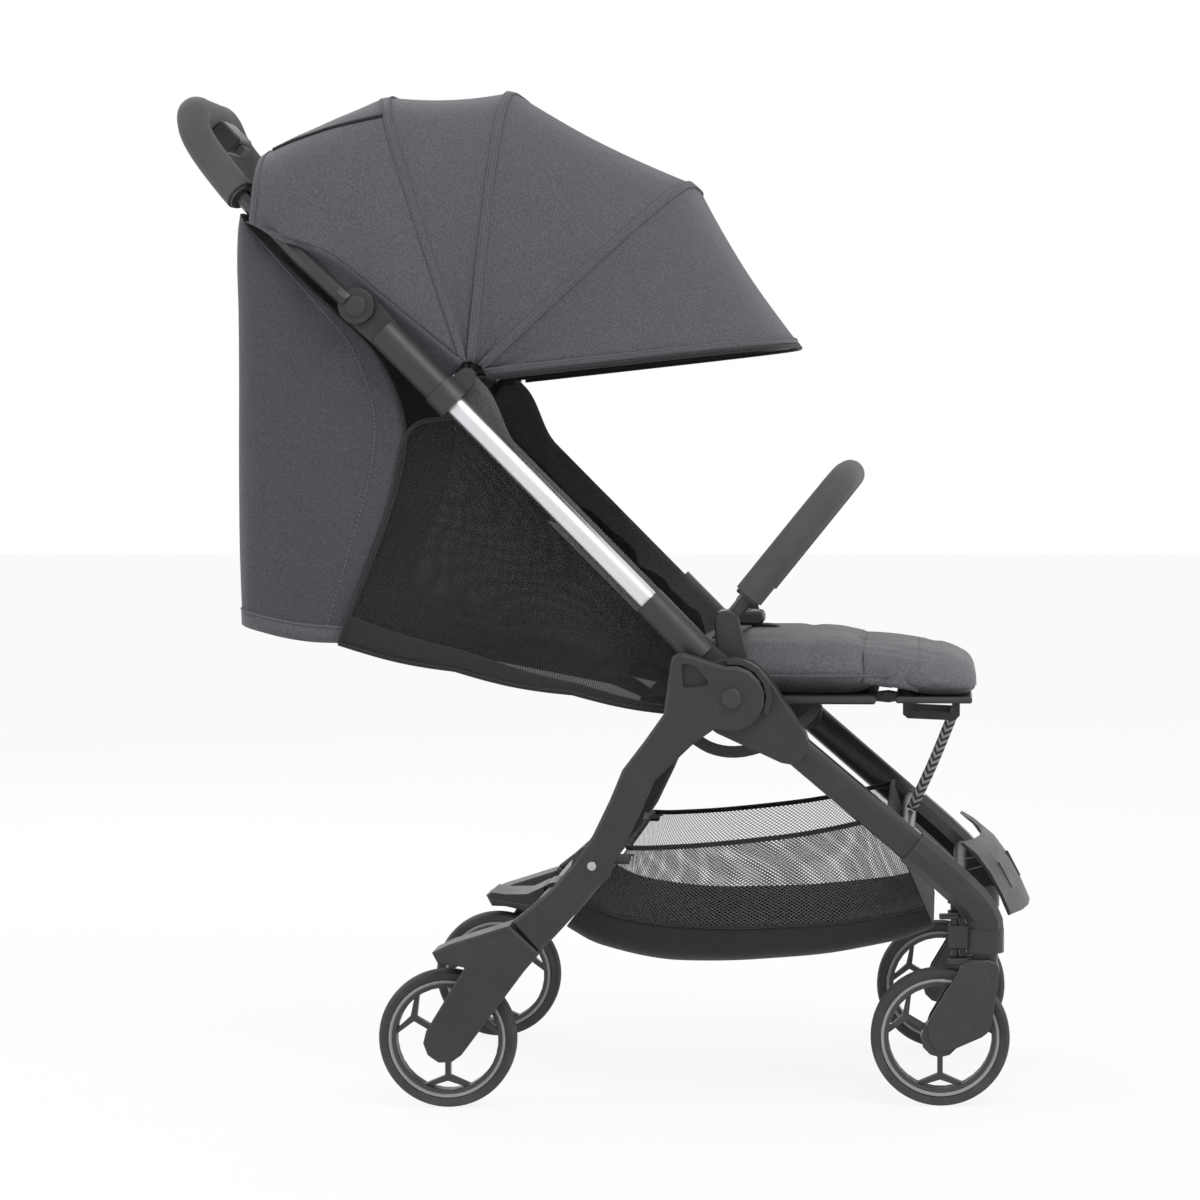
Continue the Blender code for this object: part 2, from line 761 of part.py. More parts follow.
def footrest():
    """Bowed front panel with ribs round a cross tube between the two elbows."""
    side_profile = [(-0.3715, 0.2625), (-0.386, 0.2505), (-0.399, 0.233), (-0.411, 0.211), (-0.420, 0.190)]
    columns = 6
    half_width = 0.148
    bow = 0.022
    rows = []
    for i in range(columns + 1):
        x = -half_width + 2 * half_width * i / columns
        forward = bow * (1 - (x / half_width) ** 2)
        rows.append([(x, y - forward, z - 0.15 * forward) for y, z in side_profile])
    shell = thickened(lofted(rows), 0.0035, 0.0)
    bar_y, bar_z = -0.372, 0.222
    end = FRONT_WHEEL_X + 0.0065 - ELBOW_RADIUS - 0.0015
    bar = cross_rod(bar_y, bar_z, -end, end, CROSS_BAR_RADIUS)
    panel = apply_modifiers(shell)
    join_to(panel, bar)
    for x in (-0.10, 0.0, 0.10):
        forward = bow * (1 - (x / half_width) ** 2)
        web = [(bar_y, bar_z - 0.006), (bar_y, bar_z + 0.006), (-0.3985 - forward, 0.238), (-0.412 - forward, 0.212)]
        join_to(panel, plate([web], x - 0.002, x + 0.002))
    finish(panel, "footrest", "black_plastic")


def casters():
    """Teardrop fork over each front wheel, with its stem and the two lugs for the lock."""
    x = FRONT_WHEEL_X
    half = TYRE_WIDTH / 2 + FORK_GAP + FORK_PLATE
    outline = rounded(
        [
            (FRONT_AXLE_Y + 0.014, 0.084, 0.018),
            (FRONT_AXLE_Y + 0.007, 0.050, 0.014),
            (SWIVEL_Y - 0.006, 0.076, 0.018),
            (SWIVEL_Y - 0.016, FORK_TOP, 0.010),
            (SWIVEL_Y + 0.020, FORK_TOP, 0.010),
        ][::-1],
        2,
    )
    fork = plate([outline], x - half, x + half, EDGE)
    well = half - FORK_PLATE
    cut_with(
        fork,
        cross_rod(FRONT_AXLE_Y, AXLE_HEIGHT, x - well, x + well, WHEEL_RADIUS + WHEEL_GAP, 32),
    )
    stem = rod((x, SWIVEL_Y, FORK_TOP - 0.006), (x, SWIVEL_Y, STEM_TOP), STEM_RADIUS, 12)
    washer = rod((x, SWIVEL_Y, FORK_TOP - 0.003), (x, SWIVEL_Y, BARREL_BOTTOM - FIT), 0.013, 16)
    join_to(fork, stem, washer)
    axle = cross_rod(FRONT_AXLE_Y, AXLE_HEIGHT, x - half + EDGE, x + half - EDGE, AXLE_RADIUS, 10)
    join_to(fork, axle)
    lock_y = SWIVEL_Y + LOCK_OFFSET
    near = LOCK_RADIUS + LOCK_PLAY
    for side in (-1, 1):
        lug_x = sorted((x + side * near, x + side * (near + LUG_WIDTH)))
        low = (lug_x[0], SWIVEL_Y + 0.005, FORK_TOP - LUG_HEIGHT)
        join_to(fork, box(low, (lug_x[1], lock_y + 0.0075, FORK_TOP), 0.001))
    mirrored(finish(fork, "caster_fork_left", "black_plastic"), "caster_fork_right")


# Rear frame


def rounded_corner(before, corner, after, radius, steps=3):
    """The arc that rounds one corner of an outline."""
    whole = rounded([(*before, 0.0001), (*corner, radius), (*after, 0.0001)], steps)
    return whole[steps + 1 : 2 * steps + 2]


def bracket_outline():
    """Side outline of the housing from the leg's end to the edge that follows the wheel."""
    hub_y, hub_z = HUB
    top_left = (hub_y + 0.2226, hub_z - 0.2280)
    guard = arc((REAR_AXLE_Y, AXLE_HEIGHT), WHEEL_RADIUS + 0.0085, 141, 86, 5)
    crest = [(REAR_AXLE_Y + 0.012, 0.160), (REAR_AXLE_Y - 0.004, 0.168), top_left]
    return guard + crest + [(hub_y + 0.1925, hub_z - 0.2560)]


def rear_bracket():
    """Moulded housing at the foot of the leg, and the outer arm with the wheel's axle."""
    hub_y, hub_z = HUB
    centre = (REAR_AXLE_Y, AXLE_HEIGHT)
    housing = plate([bracket_outline()[::-1]], BRACKET_INNER_X, REAR_LEG_OUTER + 0.005, 0.002)
    arm_outer = REAR_LEG_OUTER + 0.004
    arm_inner = REAR_WHEEL_X + TYRE_WIDTH / 2 + 0.002
    link = tapered_link((hub_y + 0.236, hub_z - 0.268), 0.026, centre, 0.0215, 5)
    arm = plate([link], arm_inner, arm_outer, EDGE)
    axle_inner = REAR_WHEEL_X - TYRE_WIDTH / 2 - 0.001
    axle = cross_rod(*centre, axle_inner, arm_inner + 0.002, AXLE_RADIUS, 10)
    head = cross_rod(*centre, axle_inner - 0.003, axle_inner + FIT, AXLE_RADIUS + 0.003, 10)
    join_to(housing, arm, axle, head)
    pin_place = polar(centre, BRAKE_PIN_CIRCLE, BRAKE_PIN_ANGLE)
    bore = cross_rod(*pin_place, arm_inner - 0.01, arm_outer - 0.0015, BRAKE_PIN_RADIUS + FIT, 12)
    cut_with(housing, bore)
    pin = cross_rod(*pin_place, arm_inner - BRAKE_PIN_REST, arm_outer - 0.002, BRAKE_PIN_RADIUS, 12)
    mirrored(finish(pin, "brake_pin_left", "steel"), "brake_pin_right")
    return housing


def rear_legs():
    """Triangular top plate that turns on the main pivot and narrows into the leg."""
    y, z = HUB
    strip = [
        (y + 0.094, z - 0.078, 0.0165),
        (y + 0.125, z - 0.146, 0.0165),
        (y + 0.168, z - 0.203, 0.0175),
        (y + 0.208, z - 0.241, 0.0205),
    ]
    left, right = ribbon(strip, 2)
    outline = arc(HUB, REAR_DISC_RADIUS, 78, 262, 8)
    outline += [(y + 0.018, z - 0.031), (y + 0.040, z - 0.047), (y + 0.060, z - 0.066)]
    outline += right
    outline += left[::-1]
    outline += [(y + 0.088, z - 0.044), (y + 0.068, z - 0.016)]
    outline += rounded_corner((y + 0.062, z + 0.014), (y + 0.060, z + 0.050), (y + 0.018, z + 0.033), 0.010)
    leg = plate([outline], REAR_LEG_X, REAR_LEG_OUTER, 0.003)
    recess = rounded(
        [
            (y + 0.020, z + 0.014, 0.003),
            (y + 0.048, z + 0.010, 0.003),
            (y + 0.050, z + 0.036, 0.003),
            (y + 0.036, z + 0.032, 0.003),
        ],
        2,
    )
    cut_with(leg, plate([recess], REAR_LEG_OUTER - 0.007, REAR_LEG_OUTER + 0.01))
    lobe_y, lobe_z = y + 0.140, z - 0.172
    lobe = cross_rod(lobe_y, lobe_z + 0.004, REAR_LEG_X + 0.002, REAR_LEG_OUTER - 0.002, 0.021, 12)
    join_to(leg, lobe)
    join_to(leg, rear_bracket())
    cut_with(leg, cross_rod(*HUB, REAR_LEG_X - 0.01, REAR_LEG_OUTER + 0.01, HUB_PIN_RADIUS + FIT, 14))
    mirrored(finish(leg, "rear_leg_left", "black_plastic"), "rear_leg_right")


def rear_cross_tube():
    end = REAR_LEG_X - FIT
    bar = cross_rod(REAR_TUBE_Y, REAR_TUBE_Z, -end, end, REAR_TUBE_RADIUS)
    finish(bar, "rear_cross_tube", "frame_coat")


def brake_pedal():
    """Foot pedal on a sleeve round the cross tube, with a curved tread."""
    centre = (REAR_TUBE_Y, REAR_TUBE_Z)
    sleeve = cross_rod(*centre, -PEDAL_HALF_WIDTH, PEDAL_HALF_WIDTH, REAR_TUBE_RADIUS + 0.004)
    profile = [
        (0.004, -0.0125),
        (0.030, -0.0100),
        (0.056, -0.0065),
        (0.068, -0.0045),
        (0.0705, 0.0000),
        (0.066, 0.0035),
        (0.050, 0.0015),
        (0.028, 0.0020),
        (0.010, 0.0105),
    ]
    tread = [(REAR_TUBE_Y + back, REAR_TUBE_Z + up) for back, up in profile]
    half = PEDAL_HALF_WIDTH + 0.006
    join_to(sleeve, plate([tread], -half, half, 0.001))
    cut_with(sleeve, cross_rod(*centre, -0.1, 0.1, REAR_TUBE_RADIUS + FIT))
    finish(sleeve, "brake_pedal", "black_plastic")


# Upper frame


def frame_place(reach, x=FRAME_X, rise=TUBE_RISE):
    return (x, *along_frame(reach, rise))


def upper_tubes():
    bar = rod(frame_place(TUBE_START), frame_place(TUBE_END), TUBE_RADIUS, 16)
    mirrored(finish(bar, "upper_tube_left", "aluminium"), "upper_tube_right")


def tube_bore(reach_from, reach_to):
    return rod(frame_place(reach_from), frame_place(reach_to), TUBE_RADIUS + FIT, 16)


def lower_sleeves():
    """Sleeve at the foot of each tube, ending in the round tongue that turns in the hub."""
    body = rod(frame_place(LOWER_SLEEVE_START), frame_place(LOWER_SLEEVE_END), SLEEVE_RADIUS, 16)
    end = along_frame(LOWER_SLEEVE_START + 0.012, TUBE_RISE)
    outline = tapered_link(HUB, TONGUE_RADIUS, end, SLEEVE_RADIUS - EDGE, 5)
    join_to(body, plate([outline], TONGUE_INNER, TONGUE_OUTER))
    cut_with(body, tube_bore(TUBE_START - FIT, LOWER_SLEEVE_END + 0.01))
    cut_with(body, cross_rod(*HUB, FRAME_X - 0.03, FRAME_X + 0.03, HUB_PIN_RADIUS + FIT, 14))
    mirrored(finish(body, "lower_sleeve_left", "black_plastic"), "lower_sleeve_right")


def upper_sleeves():
    """Sleeve at the top of each tube, ending in the inner half of the handle's round joint."""
    start = COLLAR_START + COLLAR_LENGTH + FIT
    body = rod(frame_place(start), frame_place(UPPER_SLEEVE_END), SLEEVE_RADIUS, 16)
    centre = along_frame(KNUCKLE_REACH, TUBE_RISE)
    root = along_frame(UPPER_SLEEVE_END - 0.010, TUBE_RISE)
    outline = tapered_link(centre, KNUCKLE_RADIUS, root, SLEEVE_RADIUS - 0.001, 5)
    knuckle = plate([outline], FRAME_X - KNUCKLE_THICKNESS, FRAME_X)
    join_to(body, knuckle)
    cut_with(body, tube_bore(start - 0.01, TUBE_END + FIT))
    pin = cross_rod(*centre, FRAME_X - 0.004, FRAME_X + KNUCKLE_THICKNESS * 0.7, 0.004, 10)
    join_to(body, pin)
    mirrored(finish(body, "upper_sleeve_left", "black_plastic"), "upper_sleeve_right")


def bow_pivot():
    return along_frame(COLLAR_START + COLLAR_LENGTH / 2, TUBE_RISE + BOW_PIVOT_RISE - 0.006)


def canopy_clamps():
    """Collar on each tube with the lug and pin that the canopy bows turn on."""
    start = COLLAR_START
    stop = COLLAR_START + COLLAR_LENGTH
    body = rod(frame_place(start), frame_place(stop), COLLAR_RADIUS, 16)
    pivot = bow_pivot()
    centre = along_frame(COLLAR_START + COLLAR_LENGTH / 2, TUBE_RISE)
    lug = tapered_link(centre, COLLAR_LENGTH / 2 - 0.0005, pivot, 0.0095, 5)
    inner = BOW_X + BOW_RADIUS + RUN
    join_to(body, plate([lug], inner, FRAME_X))
    last = BOW_X - 3 * BOW_STEP - BOW_RADIUS - 0.0012
    join_to(body, cross_rod(*pivot, last, inner + 0.002, BOW_PIN_RADIUS, 12))
    cut_with(body, tube_bore(start - 0.01, stop + 0.01))
    mirrored(finish(body, "canopy_clamp_left", "black_plastic"), "canopy_clamp_right")


def handle_route():
    """The (x, y, z) centre line of the left half of the handle, from its round joint."""
    outside = FRAME_X + HANDLE_TUBE_RADIUS + RUN
    inward = FRAME_X - HANDLE_HALF_WIDTH
    stations = [
        (0.039, 0.0035, outside),
        (0.078, 0.0030, outside),
        (0.164, 0.0010, FRAME_X + 0.002),
        (0.290, -0.0020, FRAME_X - inward * 0.16),
        (0.574, -0.0050, FRAME_X - inward * 0.55),
        (0.716, -0.0040, HANDLE_HALF_WIDTH + inward * 0.27),
        (0.841, -0.0010, HANDLE_HALF_WIDTH + inward * 0.11),
        (0.923, 0.0040, HANDLE_HALF_WIDTH),
        (0.979, 0.0118, HANDLE_HALF_WIDTH * 0.88),
        (1.000, HANDLE_RISE, HANDLE_HALF_WIDTH * 0.65),
        (1.000, HANDLE_RISE, HANDLE_HALF_WIDTH * 0.32),
    ]
    route = []
    for share, rise, x in stations:
        reach = KNUCKLE_REACH + (HANDLE_REACH - KNUCKLE_REACH) * share
        route.append(Vector((x, *along_frame(reach, rise))))
    return route


def handle():
    """U-shaped bar with a padded grip, a button housing under its middle and the button."""
    path = smooth_path(handle_route(), 3)
    half = path[:1] + thinned(path[3:])
    bar = tube(both_sides(half), HANDLE_TUBE_RADIUS, sides=2)
    centre = along_frame(KNUCKLE_REACH, TUBE_RISE)
    for side in (-1, 1):
        near = side * (FRAME_X + RUN / 2)
        far = side * (FRAME_X + RUN / 2 + HANDLE_KNUCKLE)
        low, high = min(near, far), max(near, far)
        join_to(bar, plate([arc(centre, KNUCKLE_RADIUS, 0, 330, 11)], low, high, EDGE / 2))
    for side in (-1, 1):
        near, far = side * (FRAME_X - 0.002), side * (FRAME_X + KNUCKLE_THICKNESS * 0.7 + FIT)
        cut_with(bar, cross_rod(*centre, min(near, far), max(near, far), 0.004 + FIT, 10))
    finish(bar, "handle_bar", "frame_coat")
    outer = tube(both_sides(beyond(half, GRIP_START)), GRIP_RADIUS, sides=3)
    cut_with(outer, tube(both_sides(half), HANDLE_TUBE_RADIUS + FIT, sides=2))
    finish(outer, "handle_grip", "grip_foam")


def fold_button():
    """Housing under the middle of the grip, and the sliding button that releases the fold."""
    top = HANDLE_REACH - GRIP_RADIUS - FIT * 2
    low = top - 0.030
    rise = HANDLE_RISE
    corners = [(low, rise - 0.011), (top, rise - 0.011), (top, rise + 0.011), (low, rise + 0.011)]
    outline = rounded([(*along_frame(*corner), 0.004) for corner in corners])
    housing = plate([outline], -0.034, 0.034, EDGE)
    hole_corners = [(low - 0.01, rise - 0.006), (low + 0.020, rise - 0.006), (low + 0.020, rise + 0.006),
                    (low - 0.01, rise + 0.006)]
    hole = [along_frame(*corner) for corner in hole_corners]
    cut_with(housing, plate([hole], -BUTTON_HALF_WIDTH - FIT, BUTTON_HALF_WIDTH + FIT))
    finish(housing, "fold_button_housing", "black_plastic")
    reach = BUTTON_TRAVEL + 0.001
    button_corners = [(low - reach, rise - 0.0055), (low + 0.012, rise - 0.0055), (low + 0.012, rise + 0.0055),
                      (low - reach, rise + 0.0055)]
    outline = rounded([(*along_frame(*corner), 0.0015) for corner in button_corners], 2)
    button = plate([outline], -BUTTON_HALF_WIDTH, BUTTON_HALF_WIDTH, 0.0008)
    finish(button, "fold_button", "grip_foam")


# Canopy

BOWS = (
    ("rear_bow", REAR_BOW_TOP),
    ("middle_bow", MIDDLE_BOW_TOP),
    ("front_bow", FRONT_BOW_TOP),
    ("visor_bow", VISOR_BOW_TOP),
)


# Rows of cloth behind the rear bow: inset from the frame, then foot and top past the knuckle
REAR_BORDER = (
    (0.008, -0.024, 0.031, 0.154, 0.146),
    (0.008, 0.056, 0.022, 0.168, 0.112),
    (0.006, 0.104, 0.002, 0.180, 0.078),
    (0.029, 0.142, -0.016, 0.191, 0.043),
)


def canopy_bows():
    """Four bent wires that fan out from the clamps, each ending in an eye on the pin."""
    pivot = bow_pivot()
    for order, (name, top) in enumerate(BOWS):
        x = BOW_X - order * BOW_STEP
        route = arch(x, pivot, top)
        wire = tube(route, BOW_RADIUS, sides=1)
        for side in (-1, 1):
            eye = cross_rod(*pivot, side * x - BOW_RADIUS, side * x + BOW_RADIUS, BOW_EYE_RADIUS, 10)
            join_to(wire, eye)
        for side in (-1, 1):
            low, high = side * x - 0.004, side * x + 0.004
            cut_with(wire, cross_rod(*pivot, low, high, BOW_PIN_RADIUS + FIT, 8))
        finish(wire, name, "steel")


def cover_profiles():
    """Outer arches of the canopy cloth, from the visor back to the handle's arms."""
    pivot = bow_pivot()
    grow = BOW_RADIUS + COVER_GAP + COVER_THICKNESS
    profiles = []
    for order, (_, top) in reversed(list(enumerate(BOWS))):
        run = Vector(top) - Vector(pivot)
        outer = Vector(pivot) + run.normalized() * (run.length + grow)
        foot = Vector(pivot) + run.normalized() * COVER_FOOT
        profiles.append((BOW_X - order * BOW_STEP + grow, tuple(foot), tuple(outer)))
    for inset, foot, foot_rise, top, top_rise in REAR_BORDER:
        low = along_frame(KNUCKLE_REACH + foot, foot_rise)
        high = along_frame(KNUCKLE_REACH + top, top_rise)
        profiles.append((FRAME_X - inset, low, high))
    return profiles


def cloth(stations, name, material):
    """Closed sheet through stations, each an outer row of points and the inner row under it."""
    edit = bmesh.new()
    outer = [[edit.verts.new(place) for place in station[0]] for station in stations]
    inner = [[edit.verts.new(place) for place in station[1]] for station in stations]
    last = len(outer[0]) - 1
    for k in range(len(stations) - 1):
        for i in range(last):
            edit.faces.new((outer[k][i], outer[k][i + 1], outer[k + 1][i + 1], outer[k + 1][i]))
            edit.faces.new((inner[k][i], inner[k + 1][i], inner[k + 1][i + 1], inner[k][i + 1]))
        for i in (0, last):
            edit.faces.new((outer[k][i], outer[k + 1][i], inner[k + 1][i], inner[k][i]))
    for k in (0, len(stations) - 1):
        for i in range(last):
            edit.faces.new((outer[k][i], outer[k][i + 1], inner[k][i + 1], inner[k][i]))
    bmesh.ops.recalc_face_normals(edit, faces=edit.faces)
    return finish(from_bmesh(edit), name, material, 25)


def cover_rows(profile):
    """Outer and inner rows of the cover at one (half width, foot, top) profile."""
    half_width, foot, top = profile
    run = (Vector(top) - Vector(foot)).normalized()
    inner_top = tuple(Vector(top) - run * COVER_THICKNESS)
    outer = [Vector(p) for p in arch(half_width, foot, top)]
    inner = [Vector(p) for p in arch(half_width - COVER_THICKNESS, foot, inner_top)]
    return outer, inner


def stretched(first, second, spans, start_gap, stop_gap):
    """Stations of cloth between two profiles, sagging towards the pivot between them."""
    pivot = Vector((0, *bow_pivot()))
    stations = []
    for k in range(spans + 1):
        share = k / spans
        drop = COVER_SAG * 4 * share * (1 - share)
        gap = start_gap if k == 0 else -stop_gap if k == spans else 0.0
        station = []
        for near, far in zip(cover_rows(first), cover_rows(second)):
            row = []
            for a, b in zip(near, far):
                place = a.lerp(b, share) + (b - a).normalized() * gap
                pull = drop * min(1.0, (place - pivot).yz.length / SAG_REACH)
                row.append(place + (pivot - place).normalized() * pull)
            station.append(row)
        stations.append(station)
    return stations


def canopy_covers():
    visor, front, middle, rear, *behind = cover_profiles()
    cloth(stretched(visor, front, 3, 0.0, COVER_SEAM), "visor_cover", "grey_fabric")
    main = stretched(front, middle, 3, COVER_SEAM, 0.0)[:-1] + stretched(middle, rear, 3, 0.0, COVER_SEAM)
    cloth(main, "canopy_cover", "grey_fabric")
    back = stretched(rear, behind[0], 1, COVER_SEAM, 0.0)
    for first, second in zip(behind, behind[1:]):
        back += stretched(first, second, 1, 0.0, 0.0)[1:]
    cloth(back, "canopy_rear_cover", "grey_fabric")


# Seat


def pad(low, high, crown, channel_rows, name, across=6, pinch=0.006):
    """A cushion cage: crowned top, drawn-in sides and sewn channels across it, subdivided once."""
    low, high = Vector(low), Vector(high)
    size = high - low
    along = 2 * channel_rows
    rows = []
    for j in range(along + 1):
        v = j / along
        seam = 1.0 if j % 2 == 0 and 0 < j < along else 0.0
        edge_v = math.sin(math.pi * v) ** 0.35 if 0 < v < 1 else 0.0
        ring_top = []
        ring_bottom = []
        for i in range(across + 1):
            u = i / across
            edge_u = math.sin(math.pi * u) ** 0.35 if 0 < u < 1 else 0.0
            puff = edge_u * edge_v
            inset = pinch * (1 - edge_v) * 4 * u * (1 - u)
            x = low.x + size.x * u
            y = low.y + size.y * v + (inset if v < 0.5 else -inset)
            top = low.z + size.z * 0.70 + puff * (size.z * 0.30 - crown) + crown * puff * puff
            ring_top.append((x, y, top - seam * 0.004 * puff))
            ring_bottom.append((x, y, low.z))
        rows.append(ring_top + ring_bottom[::-1])
    body = lofted(rows, closed_rows=True, caps=True)
    smooth = body.modifiers.new("soft", "SUBSURF")
    smooth.levels = 1
    smooth.render_levels = 1
    return finish(body, name, "grey_fabric", 60)


def seat():
    """Moulded seat board carried at the hubs, with hinge lugs front and back, and its cushion."""
    low = (-SEAT_HALF_WIDTH, SEAT_FRONT_Y, SEAT_BOARD_Z)
    high = (SEAT_HALF_WIDTH, SEAT_REAR_Y, SEAT_BOARD_Z + BOARD_THICKNESS)
    board = box(low, high, 0.002)
    reach = EAR_INNER_X - FIT
    arm_low = (-reach, HUB_Y - 0.020, SEAT_BOARD_Z - 0.006)
    arm_high = (reach, HUB_Y + 0.020, SEAT_BOARD_Z + BOARD_THICKNESS - 0.001)
    join_to(board, box(arm_low, arm_high, 0.002))
    for x in (-0.128, 0.128):
        rear = tapered_link(
            (RECLINE_Y, RECLINE_Z), HINGE_RADIUS, (SEAT_REAR_Y - 0.012, SEAT_BOARD_Z + 0.005), 0.0045, 2
        )
        join_to(board, plate([rear], x - 0.006, x + 0.006))
        join_to(board, cross_rod(RECLINE_Y, RECLINE_Z, x - 0.014, x + 0.014, HINGE_PIN_RADIUS, 8))
    hinge = (CALF_HINGE_Y, SEAT_BOARD_Z + BOARD_THICKNESS / 2)
    for x in (-0.10, 0.10):
        front = tapered_link(hinge, 0.0060, (SEAT_FRONT_Y + 0.010, hinge[1]), 0.0035, 2)
        join_to(board, plate([front], x - 0.006, x + 0.006))
        join_to(board, cross_rod(*hinge, x - 0.014, x + 0.014, HINGE_PIN_RADIUS, 8))
    finish(board, "seat_board", "black_plastic")
    top = SEAT_BOARD_Z + BOARD_THICKNESS
    pad(
        (-SEAT_HALF_WIDTH, SEAT_PAD_FRONT_Y, top + FIT),
        (SEAT_HALF_WIDTH, SEAT_PAD_REAR_Y, top + SEAT_PAD_HEIGHT),
        0.010,
        2,
        "seat_pad",
        across=5,
    )


def reclined(item):
    """Turns a piece modelled flat behind the backrest hinge to the backrest's angle."""
    sources = [step.object for step in item.modifiers if step.type == "BOOLEAN"]
    apply_modifiers(item)
    for source in sources:
        bpy.data.objects.remove(source)
    turn = Matrix.Rotation(math.radians(RECLINE_ANGLE), 4, "X")
    place = Matrix.Translation((0, RECLINE_Y, RECLINE_Z))
    item.data.transform(place @ turn @ place.inverted() @ item.matrix_world)
    item.matrix_world = Matrix.Identity(4)
    return item


def backrest():
    """Board hinged behind the seat, its cushion, and the shoulder straps of the harness."""
    start = RECLINE_Y + 0.010
    end = RECLINE_Y + BACKREST_LENGTH
    half = BACKREST_THICKNESS / 2
    board = box(
        (-BACKREST_HALF_WIDTH, start, RECLINE_Z - half), (BACKREST_HALF_WIDTH, end, RECLINE_Z + half), 0.0015
    )
    for x in (-0.128, 0.128):
        for side in (-1, 1):
            near, far = x + side * 0.007, x + side * 0.015
            low, high = min(near, far), max(near, far)
            ear = tapered_link(
                (RECLINE_Y, RECLINE_Z), HINGE_RADIUS - 0.001, (start + 0.008, RECLINE_Z), half - 0.0002, 2
            )
            join_to(board, plate([ear], low, high))
    for x in (-0.128, 0.128):
        cut_with(board, cross_rod(RECLINE_Y, RECLINE_Z, x - 0.02, x + 0.02, HINGE_PIN_RADIUS + FIT, 8))
    reclined(finish(board, "backrest_board", "black_plastic"))
    top = RECLINE_Z + half + FIT
    reclined(
        pad(
            (-BACKREST_HALF_WIDTH, start + 0.016, top),
            (BACKREST_HALF_WIDTH, end, top + BACKREST_PAD_HEIGHT),
            0.006,
            3,
            "backrest_pad",
            across=4,
        )
    )
    shoulder_straps(start, top + BACKREST_PAD_HEIGHT - BACKREST_PAD_SETTLE)


def shoulder_straps(start, base):
    """Two padded straps down the backrest, held together by a chest strap."""
    half_width = WEBBING_WIDTH / 2
    pad_half = half_width + 0.009
    lift = 0.0004
    chest = box((-0.060, start + 0.118, base + lift), (0.060, start + 0.138, base + WEBBING_THICKNESS))
    for x in (-0.055, 0.055):
        low = (x - half_width, start + 0.055, base + lift / 2)
        high = (x + half_width, start + 0.270, base + WEBBING_THICKNESS * 1.2)
        cover_low = (x - pad_half, start + 0.145, base)
        cover_high = (x + pad_half, start + 0.245, base + 0.008)
        join_to(chest, box(low, high), box(cover_low, cover_high, 0.003))
    reclined(finish(chest, "shoulder_straps", "webbing"))


def harness():
    """Lap and crotch straps on the seat cushion, the buckle and its release button."""
    top = SEAT_BOARD_Z + BOARD_THICKNESS + SEAT_PAD_HEIGHT - SEAT_PAD_SETTLE
    buckle_y = -0.140
    half_width = WEBBING_WIDTH / 2
    lap = box((-0.120, buckle_y - half_width, top), (0.120, buckle_y + half_width, top + WEBBING_THICKNESS))
    crotch_low = (-half_width, buckle_y - 0.045, top)
    crotch_high = (half_width, buckle_y, top + WEBBING_THICKNESS * 1.2)
    join_to(lap, box(crotch_low, crotch_high))
    finish(lap, "lap_straps", "webbing")
    top += WEBBING_THICKNESS * 1.2 + FIT
    outline = rounded([(buckle_y - 0.025, top, 0.004), (buckle_y + 0.025, top, 0.004),
                       (buckle_y + 0.025, top + 0.014, 0.005), (buckle_y - 0.025, top + 0.014, 0.005)], 2)
    buckle = plate([outline], -0.024, 0.024, 0.002)
    place = (0, buckle_y)
    hole = rod((*place, top + 0.006), (*place, top + 0.03), 0.0115, 20)
    cut_with(buckle, hole)
    finish(buckle, "buckle", "black_plastic")
    button = rod((*place, top + 0.0095), (*place, top + 0.0155), 0.0112, 20)
    finish(button, "buckle_button", "grip_foam")


def calf_rest():
    """Leg rest hinged in front of the seat: board with a bar below it, cushion, and strap."""
    hinge = (CALF_HINGE_Y, SEAT_BOARD_Z + BOARD_THICKNESS / 2)
    start = CALF_HINGE_Y - 0.009
    end = CALF_HINGE_Y - CALF_LENGTH + 0.012
    half_width = SEAT_HALF_WIDTH - 0.004
    board = box((-half_width, end, SEAT_BOARD_Z + 0.001), (half_width, start, SEAT_BOARD_Z + 0.007), 0.0015)
    for x in (-0.10, 0.10):
        for side in (-1, 1):
            near, far = x + side * 0.007, x + side * 0.015
            low, high = min(near, far), max(near, far)
            join_to(board, plate([tapered_link(hinge, 0.0055, (start - 0.006, hinge[1]), 0.0028, 2)], low, high))
    bar_z = SEAT_BOARD_Z - 0.018
    loop_rear = start - 0.006
    loop_front = end + 0.012
    loop = [
        (loop_rear, SEAT_BOARD_Z + 0.004),
        (loop_rear, bar_z - 0.001),
        (loop_rear - 0.005, bar_z - 0.005),
        (loop_front + 0.005, bar_z - 0.007),
        (loop_front, bar_z - 0.002),
        (loop_front, SEAT_BOARD_Z + 0.004),
        (loop_front + 0.008, SEAT_BOARD_Z + 0.004),
        (loop_front + 0.008, bar_z + 0.001),
        (loop_rear - 0.008, bar_z + 0.003),
        (loop_rear - 0.008, SEAT_BOARD_Z + 0.004),
    ]
    for x in (-0.045, 0.045):
        join_to(board, plate([loop], x - 0.004, x + 0.004))
    join_to(board, cross_rod(end + 0.018, bar_z - 0.0025, -0.046, 0.046, 0.004, 8))
    for x in (-0.10, 0.10):
        cut_with(board, cross_rod(*hinge, x - 0.02, x + 0.02, HINGE_PIN_RADIUS + FIT, 8))
    finish(board, "calf_board", "black_plastic")
    pad_base = SEAT_BOARD_Z + 0.007 - 0.0008
    calf_pad(half_width, CALF_PAD_REAR_Y, CALF_HINGE_Y - CALF_LENGTH - 0.002, pad_base)
    calf_strap((end + 0.018, bar_z - 0.0025))


